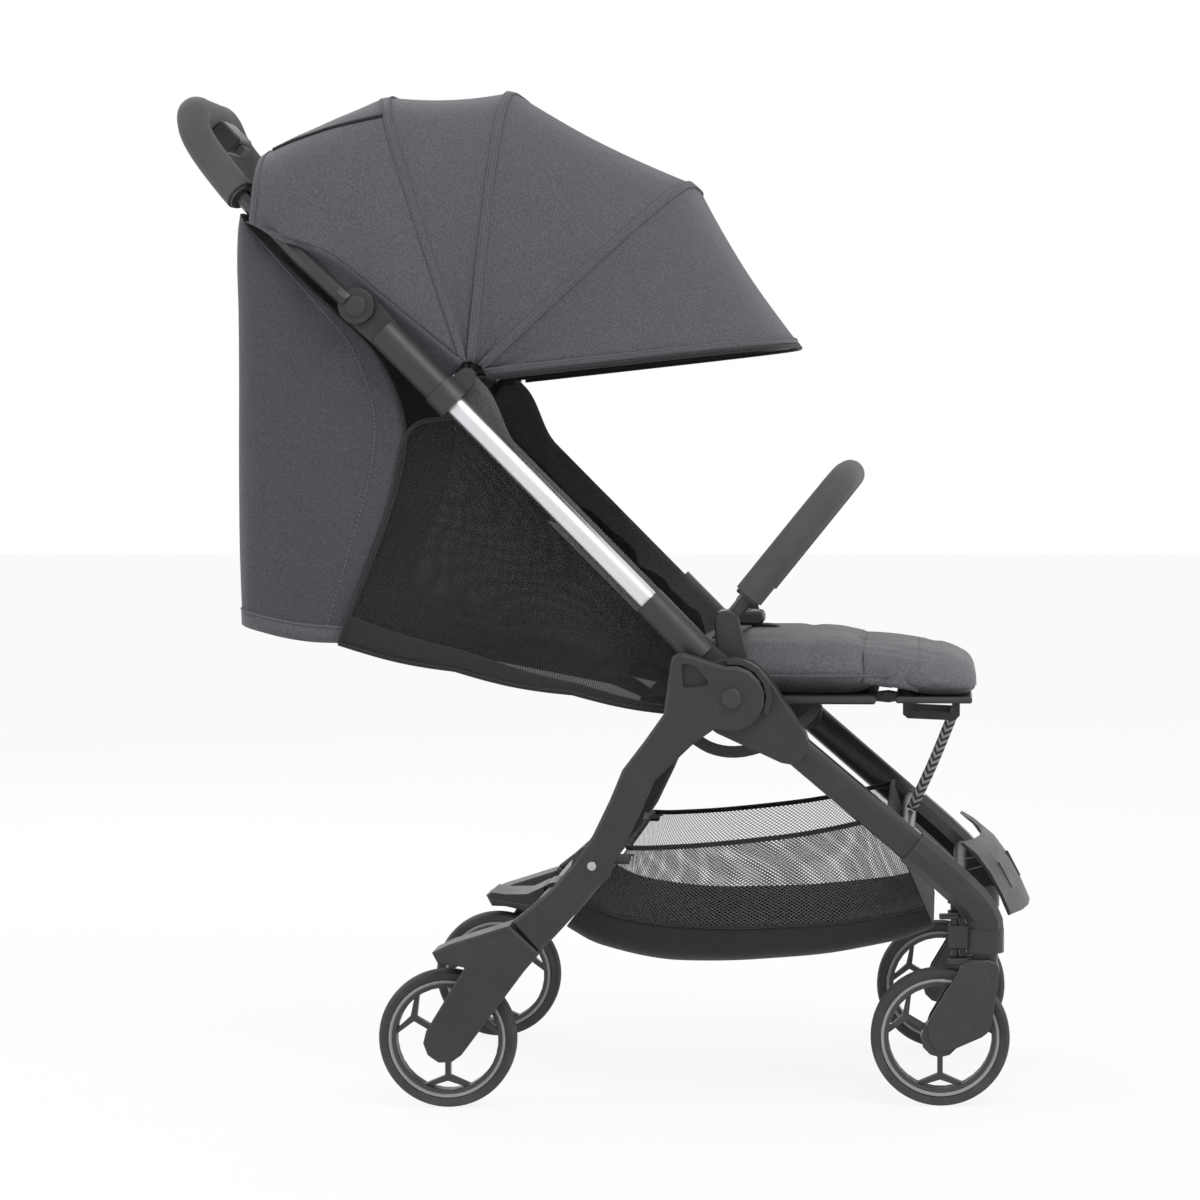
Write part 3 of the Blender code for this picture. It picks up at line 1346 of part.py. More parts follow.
def calf_pad(half_width, rear_y, front_y, base):
    """Cushion of the leg rest, highest at the seat and rounded down at its tip."""
    profile = [
        (rear_y, base, 0),
        (rear_y, base + CALF_PAD_HEIGHT * 0.98, 0),
        (rear_y - 0.036, base + CALF_PAD_HEIGHT, 0),
        (rear_y - 0.070, base + CALF_PAD_HEIGHT * 0.82, 0),
        (front_y + 0.006, base + CALF_PAD_HEIGHT * 0.50, 0),
        (front_y, base + CALF_PAD_HEIGHT * 0.20, 0),
        (front_y + 0.006, base, 0),
    ]
    rows = []
    for i in range(8):
        u = i / 7
        x = -half_width + 2 * half_width * u
        full = math.sin(math.pi * u) ** 0.3 if 0 < u < 1 else 0.0
        squeeze = 0.62 + 0.38 * full
        rows.append([(x, y + 0.006 * (1 - full) * (y < rear_y - 0.001), base + (z - base) * squeeze)
                     for y, z, _ in profile])
    body = lofted(rows, closed_rows=True, caps=True)
    smooth = body.modifiers.new("soft", "SUBSURF")
    smooth.levels = 1
    smooth.render_levels = 1
    finish(body, "calf_pad", "grey_fabric", 60)


def calf_strap(upper):
    """Flat strap from the bar under the leg rest down to the front cross bar."""
    start = Vector(upper)
    stop = Vector((CROSS_BAR_Y, CROSS_BAR_Z))
    run = (stop - start).normalized()
    start = start + run * (0.004 + FIT * 2)
    stop = stop - run * (CROSS_BAR_RADIUS + FIT * 2)
    side = Vector((-run.y, run.x)) * STRAP_THICKNESS / 2
    outline = [tuple(start + side), tuple(start - side), tuple(stop - side), tuple(stop + side)]
    finish(plate([outline], -STRAP_WIDTH / 2, STRAP_WIDTH / 2), "calf_strap", "webbing")


# Bumper bar


def bumper_bracket():
    """Arm that rises from the hub's inner side, with the pin the bumper bar turns on."""
    pivot = (BUMPER_PIVOT_Y, BUMPER_PIVOT_Z)
    outer = FRAME_X - SLEEVE_RADIUS - RUN
    inner = outer - BUMPER_BRACKET_WIDTH
    root = (HUB_Y, HUB_Z + 0.018)
    arm = plate([tapered_link(pivot, 0.0125, root, 0.0165, 4)], inner, outer, EDGE)
    boss = cross_rod(*root, inner + 0.002, EAR_INNER_X + 0.002, 0.0145, 10)
    pin = cross_rod(*pivot, BUMPER_X - 0.006, inner + 0.002, 0.0035, 10)
    return arm, boss, pin


def bumper_bar():
    """Padded bar across the front of the seat, hinged on its two brackets."""
    pivot = (BUMPER_PIVOT_Y, BUMPER_PIVOT_Z)
    top = polar(pivot, BUMPER_LENGTH, BUMPER_ANGLE)
    half = []
    for reach, x in (
        (0.000, BUMPER_X),
        (0.090, BUMPER_X - 0.001),
        (0.138, BUMPER_X - 0.009),
        (0.168, BUMPER_X - 0.025),
        (0.182, BUMPER_X - 0.050),
        (BUMPER_LENGTH, BUMPER_X - 0.090),
    ):
        share = reach / BUMPER_LENGTH
        half.append(Vector((x, pivot[0] + (top[0] - pivot[0]) * share, pivot[1] + (top[1] - pivot[1]) * share)))
    half = thinned(smooth_path(half, 3))
    bar = tube(both_sides(half), BUMPER_TUBE_RADIUS, sides=2)
    for side in (-1, 1):
        x = side * BUMPER_X
        join_to(bar, cross_rod(*pivot, x - 0.0065, x + 0.0065, 0.0115, 12))
    for side in (-1, 1):
        x = side * BUMPER_X
        cut_with(bar, cross_rod(*pivot, x - 0.0095, x + 0.0095, 0.0035 + FIT, 10))
    finish(bar, "bumper_bar", "black_plastic")
    outer = tube(both_sides(beyond(half, BUMPER_GRIP_START)), BUMPER_GRIP_RADIUS, sides=3)
    cut_with(outer, tube(both_sides(half), BUMPER_TUBE_RADIUS + FIT, sides=2))
    finish(outer, "bumper_grip", "grip_foam")


# Fabric


def side_panels():
    """Mesh side of the seat, from the tube down to the edge of the reclined backrest."""
    outer = FRAME_X - SLEEVE_RADIUS - PANEL_SIDE_GAP
    low_front = (HUB_Y + 0.046, HUB_Z - 0.020)
    low_rear = (0.259, 0.4665)
    outline = [
        low_front,
        (0.020, 0.4165),
        (0.140, 0.4400),
        low_rear,
        (0.2100, 0.590),
        (0.186, 0.680),
        along_frame(COLLAR_START - 0.006, -0.004),
        along_frame(0.270, 0.0),
        along_frame(0.105, 0.004),
        (HUB_Y + 0.040, HUB_Z + 0.040),
    ]
    panel = plate([outline], outer - PANEL_THICKNESS, outer)
    mirrored(finish(panel, "side_panel_left", "black_mesh"), "side_panel_right")


def rear_curtain():
    """Cloth that hangs behind the seat and wraps round its sides up to the frame."""
    outer = FRAME_X - SLEEVE_RADIUS - PANEL_SIDE_GAP * 2 - PANEL_THICKNESS
    back = CURTAIN_BACK_Y
    levels = [
        (outer - 0.010, (0.258, 0.468), (back, 0.480)),
        (outer - 0.004, (0.228, 0.545), (back + 0.002, 0.560)),
        (outer, (0.199, 0.622), (back + 0.002, 0.650)),
        (outer, (0.190, 0.690), (back + 0.001, 0.735)),
        (outer, (0.2165, 0.757), (back, 0.805)),
        (outer - 0.003, (0.262, 0.803), (back, 0.855)),
        (outer - 0.010, (0.306, 0.845), (back - 0.002, 0.888)),
        (outer - 0.018, (0.341, 0.878), (back - 0.006, 0.906)),
    ]
    rows = []
    for i, (half_width, foot, far) in enumerate(levels):
        row = arch(half_width, foot, far, square=CURTAIN_SQUARENESS)
        fold = 0.0016 * (1 if i % 2 else -1)
        count = len(row) - 1
        rows.append(
            [(x, y + fold * math.sin(6 * math.pi * k / count) * math.sin(math.pi * k / count), z)
             for k, (x, y, z) in enumerate(row)]
        )
    finish(thickened(lofted(rows), CURTAIN_THICKNESS, offset=-1.0), "rear_curtain", "grey_fabric", 60)


def basket():
    """Open-topped basket with a sagging floor, hung by four tabs from the legs."""
    stations = [
        (0.030, 0.170, -0.034, 0.258),
        (-0.010, 0.152, -0.060, 0.258),
        (-0.085, 0.140, -0.120, 0.262),
        (-0.200, 0.144, -0.205, 0.272),
        (-0.290, 0.158, -0.265, 0.284),
        (-0.342, 0.174, -0.298, 0.293),
    ]
    inner_rows = []
    for floor_y, floor_z, rim_y, rim_z in stations:
        middle_y = (floor_y + rim_y) / 2
        middle_z = (floor_z + rim_z) / 2
        row = [
            (BASKET_TOP_HALF, rim_y, rim_z),
            ((BASKET_TOP_HALF + BASKET_BOTTOM_HALF) / 2 + 0.004, middle_y, middle_z),
            (BASKET_BOTTOM_HALF, floor_y, floor_z + 0.006),
            (BASKET_BOTTOM_HALF * 0.6, floor_y, floor_z),
            (0, floor_y, floor_z - 0.002),
        ]
        inner_rows.append(row + [(-x, y, z) for x, y, z in reversed(row[:-1])])
    edit = bmesh.new()
    grid = [[edit.verts.new(place) for place in row] for row in inner_rows]
    for first, second in zip(grid, grid[1:]):
        for i in range(len(first) - 1):
            edit.faces.new((first[i], first[i + 1], second[i + 1], second[i]))
    for row in (grid[0], grid[-1]):
        count = len(row)
        for i in range(count // 2 - 1):
            edit.faces.new((row[i], row[i + 1], row[count - 2 - i], row[count - 1 - i]))
        middle = count // 2
        edit.faces.new((row[middle - 1], row[middle], row[middle + 1]))
    bmesh.ops.recalc_face_normals(edit, faces=edit.faces)
    shell = apply_modifiers(thickened(from_bmesh(edit), BASKET_WALL, 0.0))
    leg = leg_point(math.hypot(-0.290 - HUB_Y, 0.286 - HUB_Z))
    for side in (-1, 1):
        for y, z, reach in (
            (-0.0310, 0.2480, REAR_LEG_X - FIT),
            (-0.2900, 0.2840, leg[0] - LEG_WIDTH / 2 - SIDE_GAP),
        ):
            near, far = side * (BASKET_TOP_HALF - 0.006), side * reach
            low = (min(near, far), y - 0.009, z - 0.001)
            high = (max(near, far), y + 0.009, z + 0.001)
            join_to(shell, box(low, high))
    finish(shell, "basket", "black_mesh", 40)


clear_scene()
PIECES = make_collection("lightweight_stroller")
CUTTERS = make_collection("cutters")
MATERIALS = {name: make_material(name) for name in COLOURS}

wheels()
front_legs()
hubs()
swivel_locks()
front_cross_bar()
footrest()
casters()
rear_legs()
rear_cross_tube()
brake_pedal()
upper_tubes()
lower_sleeves()
upper_sleeves()
canopy_clamps()
handle()
fold_button()
canopy_bows()
canopy_covers()
seat()
backrest()
harness()
calf_rest()
bumper_bar()
side_panels()
rear_curtain()
basket()
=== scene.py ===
"""Looks of a lightweight folding stroller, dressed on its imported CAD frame."""

import json
import math

import bmesh
import bpy
from mathutils import Matrix, Vector, noise
from mathutils.bvhtree import BVHTree


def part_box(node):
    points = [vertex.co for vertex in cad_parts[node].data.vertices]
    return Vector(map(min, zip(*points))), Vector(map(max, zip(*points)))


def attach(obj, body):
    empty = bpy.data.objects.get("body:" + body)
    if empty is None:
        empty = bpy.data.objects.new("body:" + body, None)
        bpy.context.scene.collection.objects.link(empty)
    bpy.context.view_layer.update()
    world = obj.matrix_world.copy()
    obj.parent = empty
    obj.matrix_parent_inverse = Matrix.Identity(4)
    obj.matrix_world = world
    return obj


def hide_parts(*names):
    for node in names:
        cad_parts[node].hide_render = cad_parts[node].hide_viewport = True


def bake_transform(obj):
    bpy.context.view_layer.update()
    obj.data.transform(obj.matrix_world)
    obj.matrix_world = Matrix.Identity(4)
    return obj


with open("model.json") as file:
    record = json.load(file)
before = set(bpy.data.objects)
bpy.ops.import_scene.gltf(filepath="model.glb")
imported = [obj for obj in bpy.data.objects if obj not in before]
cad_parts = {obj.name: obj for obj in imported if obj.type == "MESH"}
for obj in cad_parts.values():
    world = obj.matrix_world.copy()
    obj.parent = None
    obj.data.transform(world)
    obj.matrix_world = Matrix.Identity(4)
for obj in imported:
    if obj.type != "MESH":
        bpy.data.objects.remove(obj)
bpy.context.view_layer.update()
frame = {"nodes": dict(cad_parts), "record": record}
BODY_OF = {
    node: body for body, nodes in frame["record"]["behaviour"]["bodies"].items() for node in nodes
}

# Frame measures, in metres, as side-view (y, z) pairs where two numbers stand together
HUB = (-0.144, 0.416)
FRAME_LEAN = math.radians(45.4)
FRAME_X = 0.204
TUBE_RISE = 0.006
TUBE_RADIUS = 0.011
SLEEVE_RADIUS = 0.0165
KNUCKLE_REACH = 0.544
HANDLE_REACH = 0.8246
HANDLE_RISE = 0.0154
HANDLE_TUBE_RADIUS = 0.0088
HANDLE_HALF_WIDTH = 0.108
COLLAR_START = 0.404
HUB_FACE = 0.2425
AXLE_HEIGHT = 0.0697
FRONT_AXLE_Y = -0.350
FRONT_WHEEL_X = 0.1725
REAR_AXLE_Y = 0.145
REAR_WHEEL_X = 0.215
BOW_NAMES = ("rear", "middle", "front", "visor")
BOW_X = 0.1885
BOW_STEP = 0.0062
BOW_TOPS = ((0.217, 1.022), (0.092, 1.026), (-0.0905, 0.932), (-0.195, 0.770))
CANOPY_PIVOT = Vector((0, 0.12389, 0.73608))
COVER_GROW = 0.0055
COVER_FOOT = 0.016
REAR_BORDER = (
    (0.008, -0.024, 0.031, 0.154, 0.146),
    (0.008, 0.056, 0.022, 0.168, 0.112),
    (0.006, 0.104, 0.002, 0.180, 0.078),
    (0.029, 0.142, -0.016, 0.191, 0.043),
)
RECLINE_PIVOT = Vector((0, -0.030, 0.424))
RECLINE_ANGLE = math.radians(11.0)
BACKREST_START = RECLINE_PIVOT.y + 0.010
BACKREST_TOP = RECLINE_PIVOT.z + 0.0033
BACK_PAD_HEIGHT = 0.026
STRAP_WIDTH = 0.025
SHOULDER_X = 0.055
UNDER_STRAP_X = 0.148
TAPE_THICKNESS = 0.0008
STRAP_THICKNESS = 0.0016
# Radii of the cords sewn along edges
EDGE_CORD = 0.0016
PIPING_CORD = 0.0017
ZIP_AND_SHADOW_CORD = 0.0019
NET_CORD = 0.0022
VISOR_CORD = 0.0024
RIM_CORD = 0.0026
# Length, width and height of a stitch, and how far it stands out of the cloth
STITCH_SIZE = (0.0028, 0.0007, 0.0006)
STITCH_LIFT = 0.0004
SIDES = (("left", 1), ("right", -1))


def along_frame(reach, rise=0.0):
    """The (y, z) place at a distance along the leaning tubes and above their line."""
    y = HUB[0] + reach * math.cos(FRAME_LEAN) - rise * math.sin(FRAME_LEAN)
    z = HUB[1] + reach * math.sin(FRAME_LEAN) + rise * math.cos(FRAME_LEAN)
    return y, z


def frame_place(reach, rise):
    """The same place as a point in the middle of the frame."""
    return Vector((0, *along_frame(reach, rise)))


# Shader arithmetic


def operator(operation, swapped=False):
    """A method that puts a math node between two values."""

    def method(self, other=0.0):
        first, second = (other, self) if swapped else (self, other)
        return self.tree.node("ShaderNodeMath", {"operation": operation}, {0: first, 1: second})

    return method


class Value:
    """A shader socket that takes part in Python arithmetic."""

    __add__ = operator("ADD")
    __radd__ = operator("ADD", True)
    __sub__ = operator("SUBTRACT")
    __rsub__ = operator("SUBTRACT", True)
    __mul__ = operator("MULTIPLY")
    __rmul__ = operator("MULTIPLY", True)
    __truediv__ = operator("DIVIDE")
    __abs__ = operator("ABSOLUTE")
    sine = operator("SINE")
    least = operator("MINIMUM")
    most = operator("MAXIMUM")

    def __init__(self, tree, socket):
        self.tree = tree
        self.socket = socket

    def clamped(self):
        return self.tree.node("ShaderNodeClamp", {}, {"Value": self, "Min": 0.0, "Max": 1.0})

    def part(self, axis):
        return self.tree.node("ShaderNodeSeparateXYZ", {}, {0: self}, axis)

    def along(self, direction):
        """How far a place lies along a direction."""
        settings = {"operation": "DOT_PRODUCT"}
        return self.tree.node("ShaderNodeVectorMath", settings, {0: self, 1: direction}, "Value")


class Tree:
    """The node tree of a material or a world."""

    def __init__(self, owner):
        owner.use_nodes = True
        self.nodes = owner.node_tree.nodes
        self.links = owner.node_tree.links

    def node(self, kind, settings=None, inputs=None, output=0):
        node = self.nodes.new(kind)
        for key, value in (settings or {}).items():
            setattr(node, key, value)
        self.feed(node, inputs or {})
        return Value(self, node.outputs[output])

    def feed(self, node, inputs):
        for key, value in inputs.items():
            if isinstance(value, Value):
                self.links.new(value.socket, node.inputs[key])
            else:
                node.inputs[key].default_value = value


class Recipe(Tree):
    """A material built node by node round one Principled shader."""

    def __init__(self, name, slot):
        self.slot = slot
        self.material = bpy.data.materials.new(name)
        super().__init__(self.material)
        self.shader = self.nodes["Principled BSDF"]
        self.place = self.node("ShaderNodeTexCoord", output="Object")

    def speckle(self, scale, detail=2.0, place=None):
        inputs = {"Vector": place or self.place, "Scale": scale, "Detail": detail}
        return self.node("ShaderNodeTexNoise", {}, inputs)

    def cells(self, scale):
        return self.node("ShaderNodeTexVoronoi", {}, {"Vector": self.place, "Scale": scale})

    def stretched(self, scale):
        return self.node("ShaderNodeMapping", {}, {"Vector": self.place, "Scale": scale})

    def vector(self, x, y, z):
        return self.node("ShaderNodeCombineXYZ", {}, {0: x, 1: y, 2: z})

    def tint(self, mask, first, second):
        inputs = {0: mask, 6: opaque(first), 7: opaque(second)}
        return self.node("ShaderNodeMix", {"data_type": "RGBA"}, inputs, 2)

    def raised(self, height, distance, strength=1.0):
        inputs = {"Height": height, "Distance": distance, "Strength": strength}
        return self.node("ShaderNodeBump", {}, inputs, "Normal")

    def finished(self, **sockets):
        self.feed(self.shader, {key.replace("_", " "): value for key, value in sockets.items()})
        return self


def opaque(colour):
    """A colour with its alpha, or a socket as it is."""
    return colour if isinstance(colour, Value) else (*colour, 1.0)


def shade(colour, factor, added=0.0):
    """A colour made lighter or darker."""
    return tuple(part * factor + added for part in colour)


def moulded(name, slot, colour, grain=0.5, gloss=0.44):
    """Moulded plastic: a fine grained skin with scuffed, slightly lighter patches."""
    m = Recipe(name, slot)
    patches = ((m.speckle(22, 4) - 0.48) * 3.2).clamped()
    scuffs = ((m.speckle(95, 3) - 0.60) * 6.0).clamped()
    light = m.tint(patches * 0.6, colour, shade(colour, 1.35, 0.004))
    base = m.tint(scuffs * 0.35, light, shade(colour, 1.7, 0.01))
    rough = m.speckle(60, 3) * 0.22 + (gloss - 0.11)
    skin = m.speckle(1500, 2) + m.speckle(420, 2) * 0.6
    return m.finished(Base_Color=base, Roughness=rough, Normal=m.raised(skin, 0.0002, grain))


def painted(name, slot, colour):
    """Powder-coated tube: satin, with a faint orange-peel and rubbed patches."""
    m = Recipe(name, slot)
    rubbed = ((m.speckle(30, 4) - 0.55) * 5.0).clamped()
    base = m.tint(rubbed * 0.5, colour, shade(colour, 1.6, 0.01))
    rough = m.speckle(80, 3) * 0.18 + 0.30
    skin = m.raised(m.speckle(700, 2), 0.00012, 0.5)
    return m.finished(
        Base_Color=base, Roughness=rough, Metallic=0.15, Coat_Weight=0.15, Normal=skin
    )


def brushed(name, slot, colour, direction):
    """Drawn metal with fine lines along its length."""
    m = Recipe(name, slot)
    lengthwise = m.place.along(direction)
    across = m.place.along((direction[0], -direction[2], direction[1]))
    drawn = m.vector(lengthwise * 18.0, across * 1400.0, m.place.part(0) * 1400.0)
    lines = m.speckle(1.0, 3, drawn)
    clouds = m.speckle(16, 3)
    base = m.tint(clouds, shade(colour, 0.88), colour)
    rough = lines * 0.16 + clouds * 0.08 + 0.20
    skin = m.raised(lines, 0.00008, 0.35)
    return m.finished(Base_Color=base, Roughness=rough, Metallic=1.0, Normal=skin)


def rubber(name, slot, colour):
    """Foamed tyre rubber, dusty where it is rubbed."""
    m = Recipe(name, slot)
    dust = ((m.speckle(36, 5) - 0.46) * 3.0).clamped()
    base = m.tint(dust * 0.55, colour, shade(colour, 1.9, 0.012))
    rough = m.speckle(120, 2) * 0.2 + 0.66
    skin = m.speckle(1100, 3) + m.cells(900) * 0.4
    return m.finished(Base_Color=base, Roughness=rough, Normal=m.raised(skin, 0.0003, 0.45))


def foam(name, slot, colour):
    """Closed-cell foam of the grips: matt and finely pitted."""
    m = Recipe(name, slot)
    pits = m.cells(850)
    clouds = m.speckle(28, 4)
    base = m.tint(clouds, shade(colour, 0.8), shade(colour, 1.3))
    rough = pits * 0.12 + 0.76
    skin = m.raised(pits + m.speckle(320, 2) * 0.5, 0.0005, 0.6)
    return m.finished(Base_Color=base, Roughness=rough, Sheen_Weight=0.15, Normal=skin)


def cloth(name, slot, dark, light, creases=1.0, woven=True):
    """Woven melange cloth: two thread colours, a plain weave and soft creases."""
    m = Recipe(name, slot)
    run, gauge = 420.0, 1500.0
    threads = m.speckle(1.0, 2, m.stretched((run, run, gauge)))
    threads_across = m.speckle(1.0, 2, m.stretched((gauge, gauge, run)))
    fleck = ((threads + threads_across - 0.86) * 3.4).clamped()
    clouds = m.speckle(7, 4)
    base = m.tint(clouds * 0.30, m.tint(fleck, dark, light), light)
    weave = threads * 0.5 + threads_across * 0.5
    if woven:
        flat = m.node("ShaderNodeTexCoord", output="UV")
        warp, weft = ((flat.part(axis) * 5200.0).sine() for axis in (0, 1))
        weave = weave + warp * weft * 0.5
    folds = m.speckle(1.0, 3, m.stretched((16.0, 9.0, 7.0)))
    height = folds * (6.0 * creases) + weave * 0.16
    rough = fleck * 0.08 + 0.84
    return m.finished(
        Base_Color=base, Roughness=rough, Sheen_Weight=0.22, Sheen_Roughness=0.45,
        Specular_IOR_Level=0.25, Normal=m.raised(height, 0.0022, 0.55),
    )


def netting(name, slot, dark, light, pitch, hole, depth):
    """Knitted mesh: a diamond net of thread with holes that are partly clear."""
    m = Recipe(name, slot)
    flat = m.node("ShaderNodeTexCoord", output="UV")
    across, down = flat.part(0), flat.part(1)
    turn = math.pi / pitch
    one = abs(((across + down) * turn).sine())
    other = abs(((across - down) * turn).sine())
    gap = ((one.least(other) - hole) * 5.0).clamped()
    clouds = m.speckle(9, 4)
    base = m.tint(clouds, dark, light)
    return m.finished(
        Base_Color=base, Roughness=clouds * 0.1 + 0.78, Sheen_Weight=0.10, Specular_IOR_Level=0.3,
        Alpha=1.0 - gap * depth, Normal=m.raised(1.0 - gap, 0.0004, 0.6),
    )


def webbed(name, slot, dark, light, pitch=0.0016):
    """Woven strap: ribs across it and a fine line down each edge."""
    m = Recipe(name, slot)
    flat = m.node("ShaderNodeTexCoord", output="UV")
    ribs = (flat.part(1) * (2 * math.pi / pitch)).sine() * 0.5 + 0.5
    lines = (flat.part(0) * (2 * math.pi / 0.0022)).sine() * 0.5 + 0.5
    clouds = m.speckle(60, 3)
    base = m.tint(ribs * 0.5 + clouds * 0.3, dark, light)
    rough = clouds * 0.1 + 0.7
    skin = m.raised(ribs + lines * 0.5, 0.0003, 0.7)
    return m.finished(Base_Color=base, Roughness=rough, Sheen_Weight=0.15, Normal=skin)


def braided(name, slot, dark, light):
    """Elastic strap with light and dark threads that meet in chevrons."""
    m = Recipe(name, slot)
    flat = m.node("ShaderNodeTexCoord", output="UV")
    chevron = ((flat.part(1) + abs(flat.part(0) - 0.006) * 1.1) * (2 * math.pi / 0.0075)).sine()
    mask = (chevron * 2.5 + 0.5).clamped()
    base = m.tint(mask, dark, light)
    rough = m.speckle(90, 2) * 0.1 + 0.72
    return m.finished(Base_Color=base, Roughness=rough, Normal=m.raised(chevron, 0.0004, 0.6))


FRAME_RUN = (0.0, math.cos(FRAME_LEAN), math.sin(FRAME_LEAN))
PLASTIC = moulded("moulded_black_plastic", "black_plastic", (0.028, 0.028, 0.030))
HUB_PLASTIC = moulded("moulded_hub_plastic", "black_plastic", (0.021, 0.021, 0.023), 0.6, 0.46)
RIM_PLASTIC = moulded("wheel_rim_plastic", "rim", (0.036, 0.036, 0.039), 0.35, 0.38)
# Pale grey for the ring at the tyre's inner edge: a painted highlight
RIM_HIGHLIGHT_PAINT = moulded("wheel_rim_painted_highlight", "rim", (0.30, 0.30, 0.31), 0.3, 0.36)
COATING = painted("dark_powder_coat", "frame_coat", (0.022, 0.022, 0.024))
ALUMINIUM = brushed("drawn_aluminium", "aluminium", (0.78, 0.78, 0.80), FRAME_RUN)
STEEL = brushed("drawn_steel_wire", "steel", (0.50, 0.50, 0.52), (1.0, 0.0, 0.0))
BLACKENED = painted("blackened_spring_steel", "steel", (0.024, 0.024, 0.026))
TYRE = rubber("tyre_rubber", "tyre", (0.042, 0.041, 0.041))
GRIP = foam("grip_foam_skin", "grip_foam", (0.062, 0.062, 0.064))
CANOPY_CLOTH = cloth("canopy_cloth", "grey_fabric", (0.072, 0.067, 0.079), (0.138, 0.129, 0.149))
CURTAIN_CLOTH = cloth(
    "curtain_cloth", "grey_fabric", (0.049, 0.046, 0.054), (0.094, 0.088, 0.102), 0.8
)
SEAT_CLOTH = cloth(
    "seat_cloth", "grey_fabric", (0.085, 0.081, 0.090), (0.180, 0.173, 0.188), 0.8, False
)
TAPE = cloth("seam_tape", "grey_fabric", (0.080, 0.076, 0.086), (0.135, 0.128, 0.144), 0.2)
LINING = cloth("black_lining", "black_mesh", (0.016, 0.016, 0.017), (0.034, 0.034, 0.037), 0.6)
# The black lining painted several times lighter: painted light where the canopy shades it
LINING_PAINTED_LIGHTER = cloth("inner_lining_painted_light", "black_mesh", (0.062, 0.062, 0.066), (0.130, 0.130, 0.137), 0.8)
SIDE_NET = netting(
    "seat_side_net", "black_mesh", (0.010, 0.010, 0.011), (0.024, 0.024, 0.026), 0.0026, 0.42, 0.45
)
BASKET_NET = netting(
    "basket_net", "black_mesh", (0.060, 0.060, 0.062), (0.120, 0.120, 0.124), 0.0034, 0.23, 0.95
)
WEBBING = webbed("strap_webbing", "webbing", (0.022, 0.022, 0.024), (0.060, 0.060, 0.064))
BRAID = braided("calf_strap_braid", "webbing", (0.05, 0.05, 0.052), (0.42, 0.42, 0.44))
THREAD = webbed("sewing_thread", "grey_fabric", (0.10, 0.095, 0.105), (0.20, 0.19, 0.21), 0.0012)

# Making and finishing pieces


def drift(*place):
    """Slow noise between 0 and 1."""
    return 0.5 + 0.5 * noise.noise(Vector(place))


def bulge(share):
    """0 at both ends of a span and 1 in its middle."""
    return 4 * share * (1 - share)


def piece(name, edit, recipe, smooth_angle=35.0):
    """A bmesh as a finished object at the origin, with its material."""
    mesh = bpy.data.meshes.new(name)
    edit.to_mesh(mesh)
    edit.free()
    return dressed(bpy.data.objects.new(name, mesh), recipe, smooth_angle)


def dressed(item, recipe, smooth_angle=35.0):
    """Gives an object its material and smooth shading."""
    if item.name not in bpy.context.scene.collection.objects:
        bpy.context.scene.collection.objects.link(item)
    item.data.materials.clear()
    item.data.materials.append(recipe.material)
    item.data.shade_smooth()
    item.data.set_sharp_from_angle(angle=math.radians(smooth_angle))
    return item


def evaluated_mesh(item):
    bpy.context.view_layer.update()
    graph = bpy.context.evaluated_depsgraph_get()
    return bpy.data.meshes.new_from_object(item.evaluated_get(graph), depsgraph=graph)


def settled(item):
    """Applies an object's modifiers to its mesh."""
    mesh = evaluated_mesh(item)
    item.modifiers.clear()
    item.data = mesh
    return item


def merged(mesh, distance=0.00002):
    """A copy of a mesh whose doubled corners are one."""
    edit = bmesh.new()
    edit.from_mesh(mesh)
    bmesh.ops.remove_doubles(edit, verts=edit.verts, dist=distance)
    return edit


def modify(item, kind, **settings):
    modifier = item.modifiers.new(kind.lower(), kind)
    for key, value in settings.items():
        setattr(modifier, key, value)
    return modifier


def on_node(item, node):
    """The piece rides with a CAD node's body and stands for the node."""
    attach(item, BODY_OF[node])
    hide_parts(node)


def rounded_edges(item, width, segments, angle):
    modify(
        item, "BEVEL", width=width, segments=segments, limit_method="ANGLE",
        angle_limit=math.radians(angle), harden_normals=True,
    )


def rounded(edit, edges, radius, segments):
    bmesh.ops.bevel(
        edit, geom=edges, offset=radius, segments=segments, affect="EDGES", profile=0.5, material=-1
    )


def slab(low, high, radius, segments):
    """A block between two corners with rounded edges."""
    edit = bmesh.new()
    bmesh.ops.create_cube(edit, size=1.0)
    bmesh.ops.scale(edit, vec=high - low, verts=edit.verts)
    bmesh.ops.translate(edit, vec=(low + high) / 2, verts=edit.verts)
    rounded(edit, edit.edges[:], radius, segments)
    return edit


def smooth_path(points, steps):
    """Points on a smooth curve through the given ones."""
    points = [Vector(point) for point in points]
    ends = [2 * points[0] - points[1]] + points + [2 * points[-1] - points[-2]]
    path = []
    for i in range(1, len(ends) - 2):
        for k in range(steps):
            path.append(curve_point(ends[i - 1 : i + 3], k / steps))
    return path + [points[-1]]


def curve_point(corners, t):
    """The place between the second and third of four points on a smooth curve."""
    a, b, c, d = corners
    return 0.5 * (
        2 * b + (c - a) * t + (2 * a - 5 * b + 4 * c - d) * t * t
        + (3 * b - a - 3 * c + d) * t * t * t
    )


def point_on(points, share):
    """The place at a share of the way through points, on a smooth curve."""
    at = min(max(share, 0.0), 1.0) * (len(points) - 1)
    i = min(int(at), len(points) - 2)
    before = points[i - 1] if i else 2 * points[0] - points[1]
    after = points[i + 2] if i + 2 < len(points) else 2 * points[-1] - points[-2]
    return curve_point((before, points[i], points[i + 1], after), at - i)


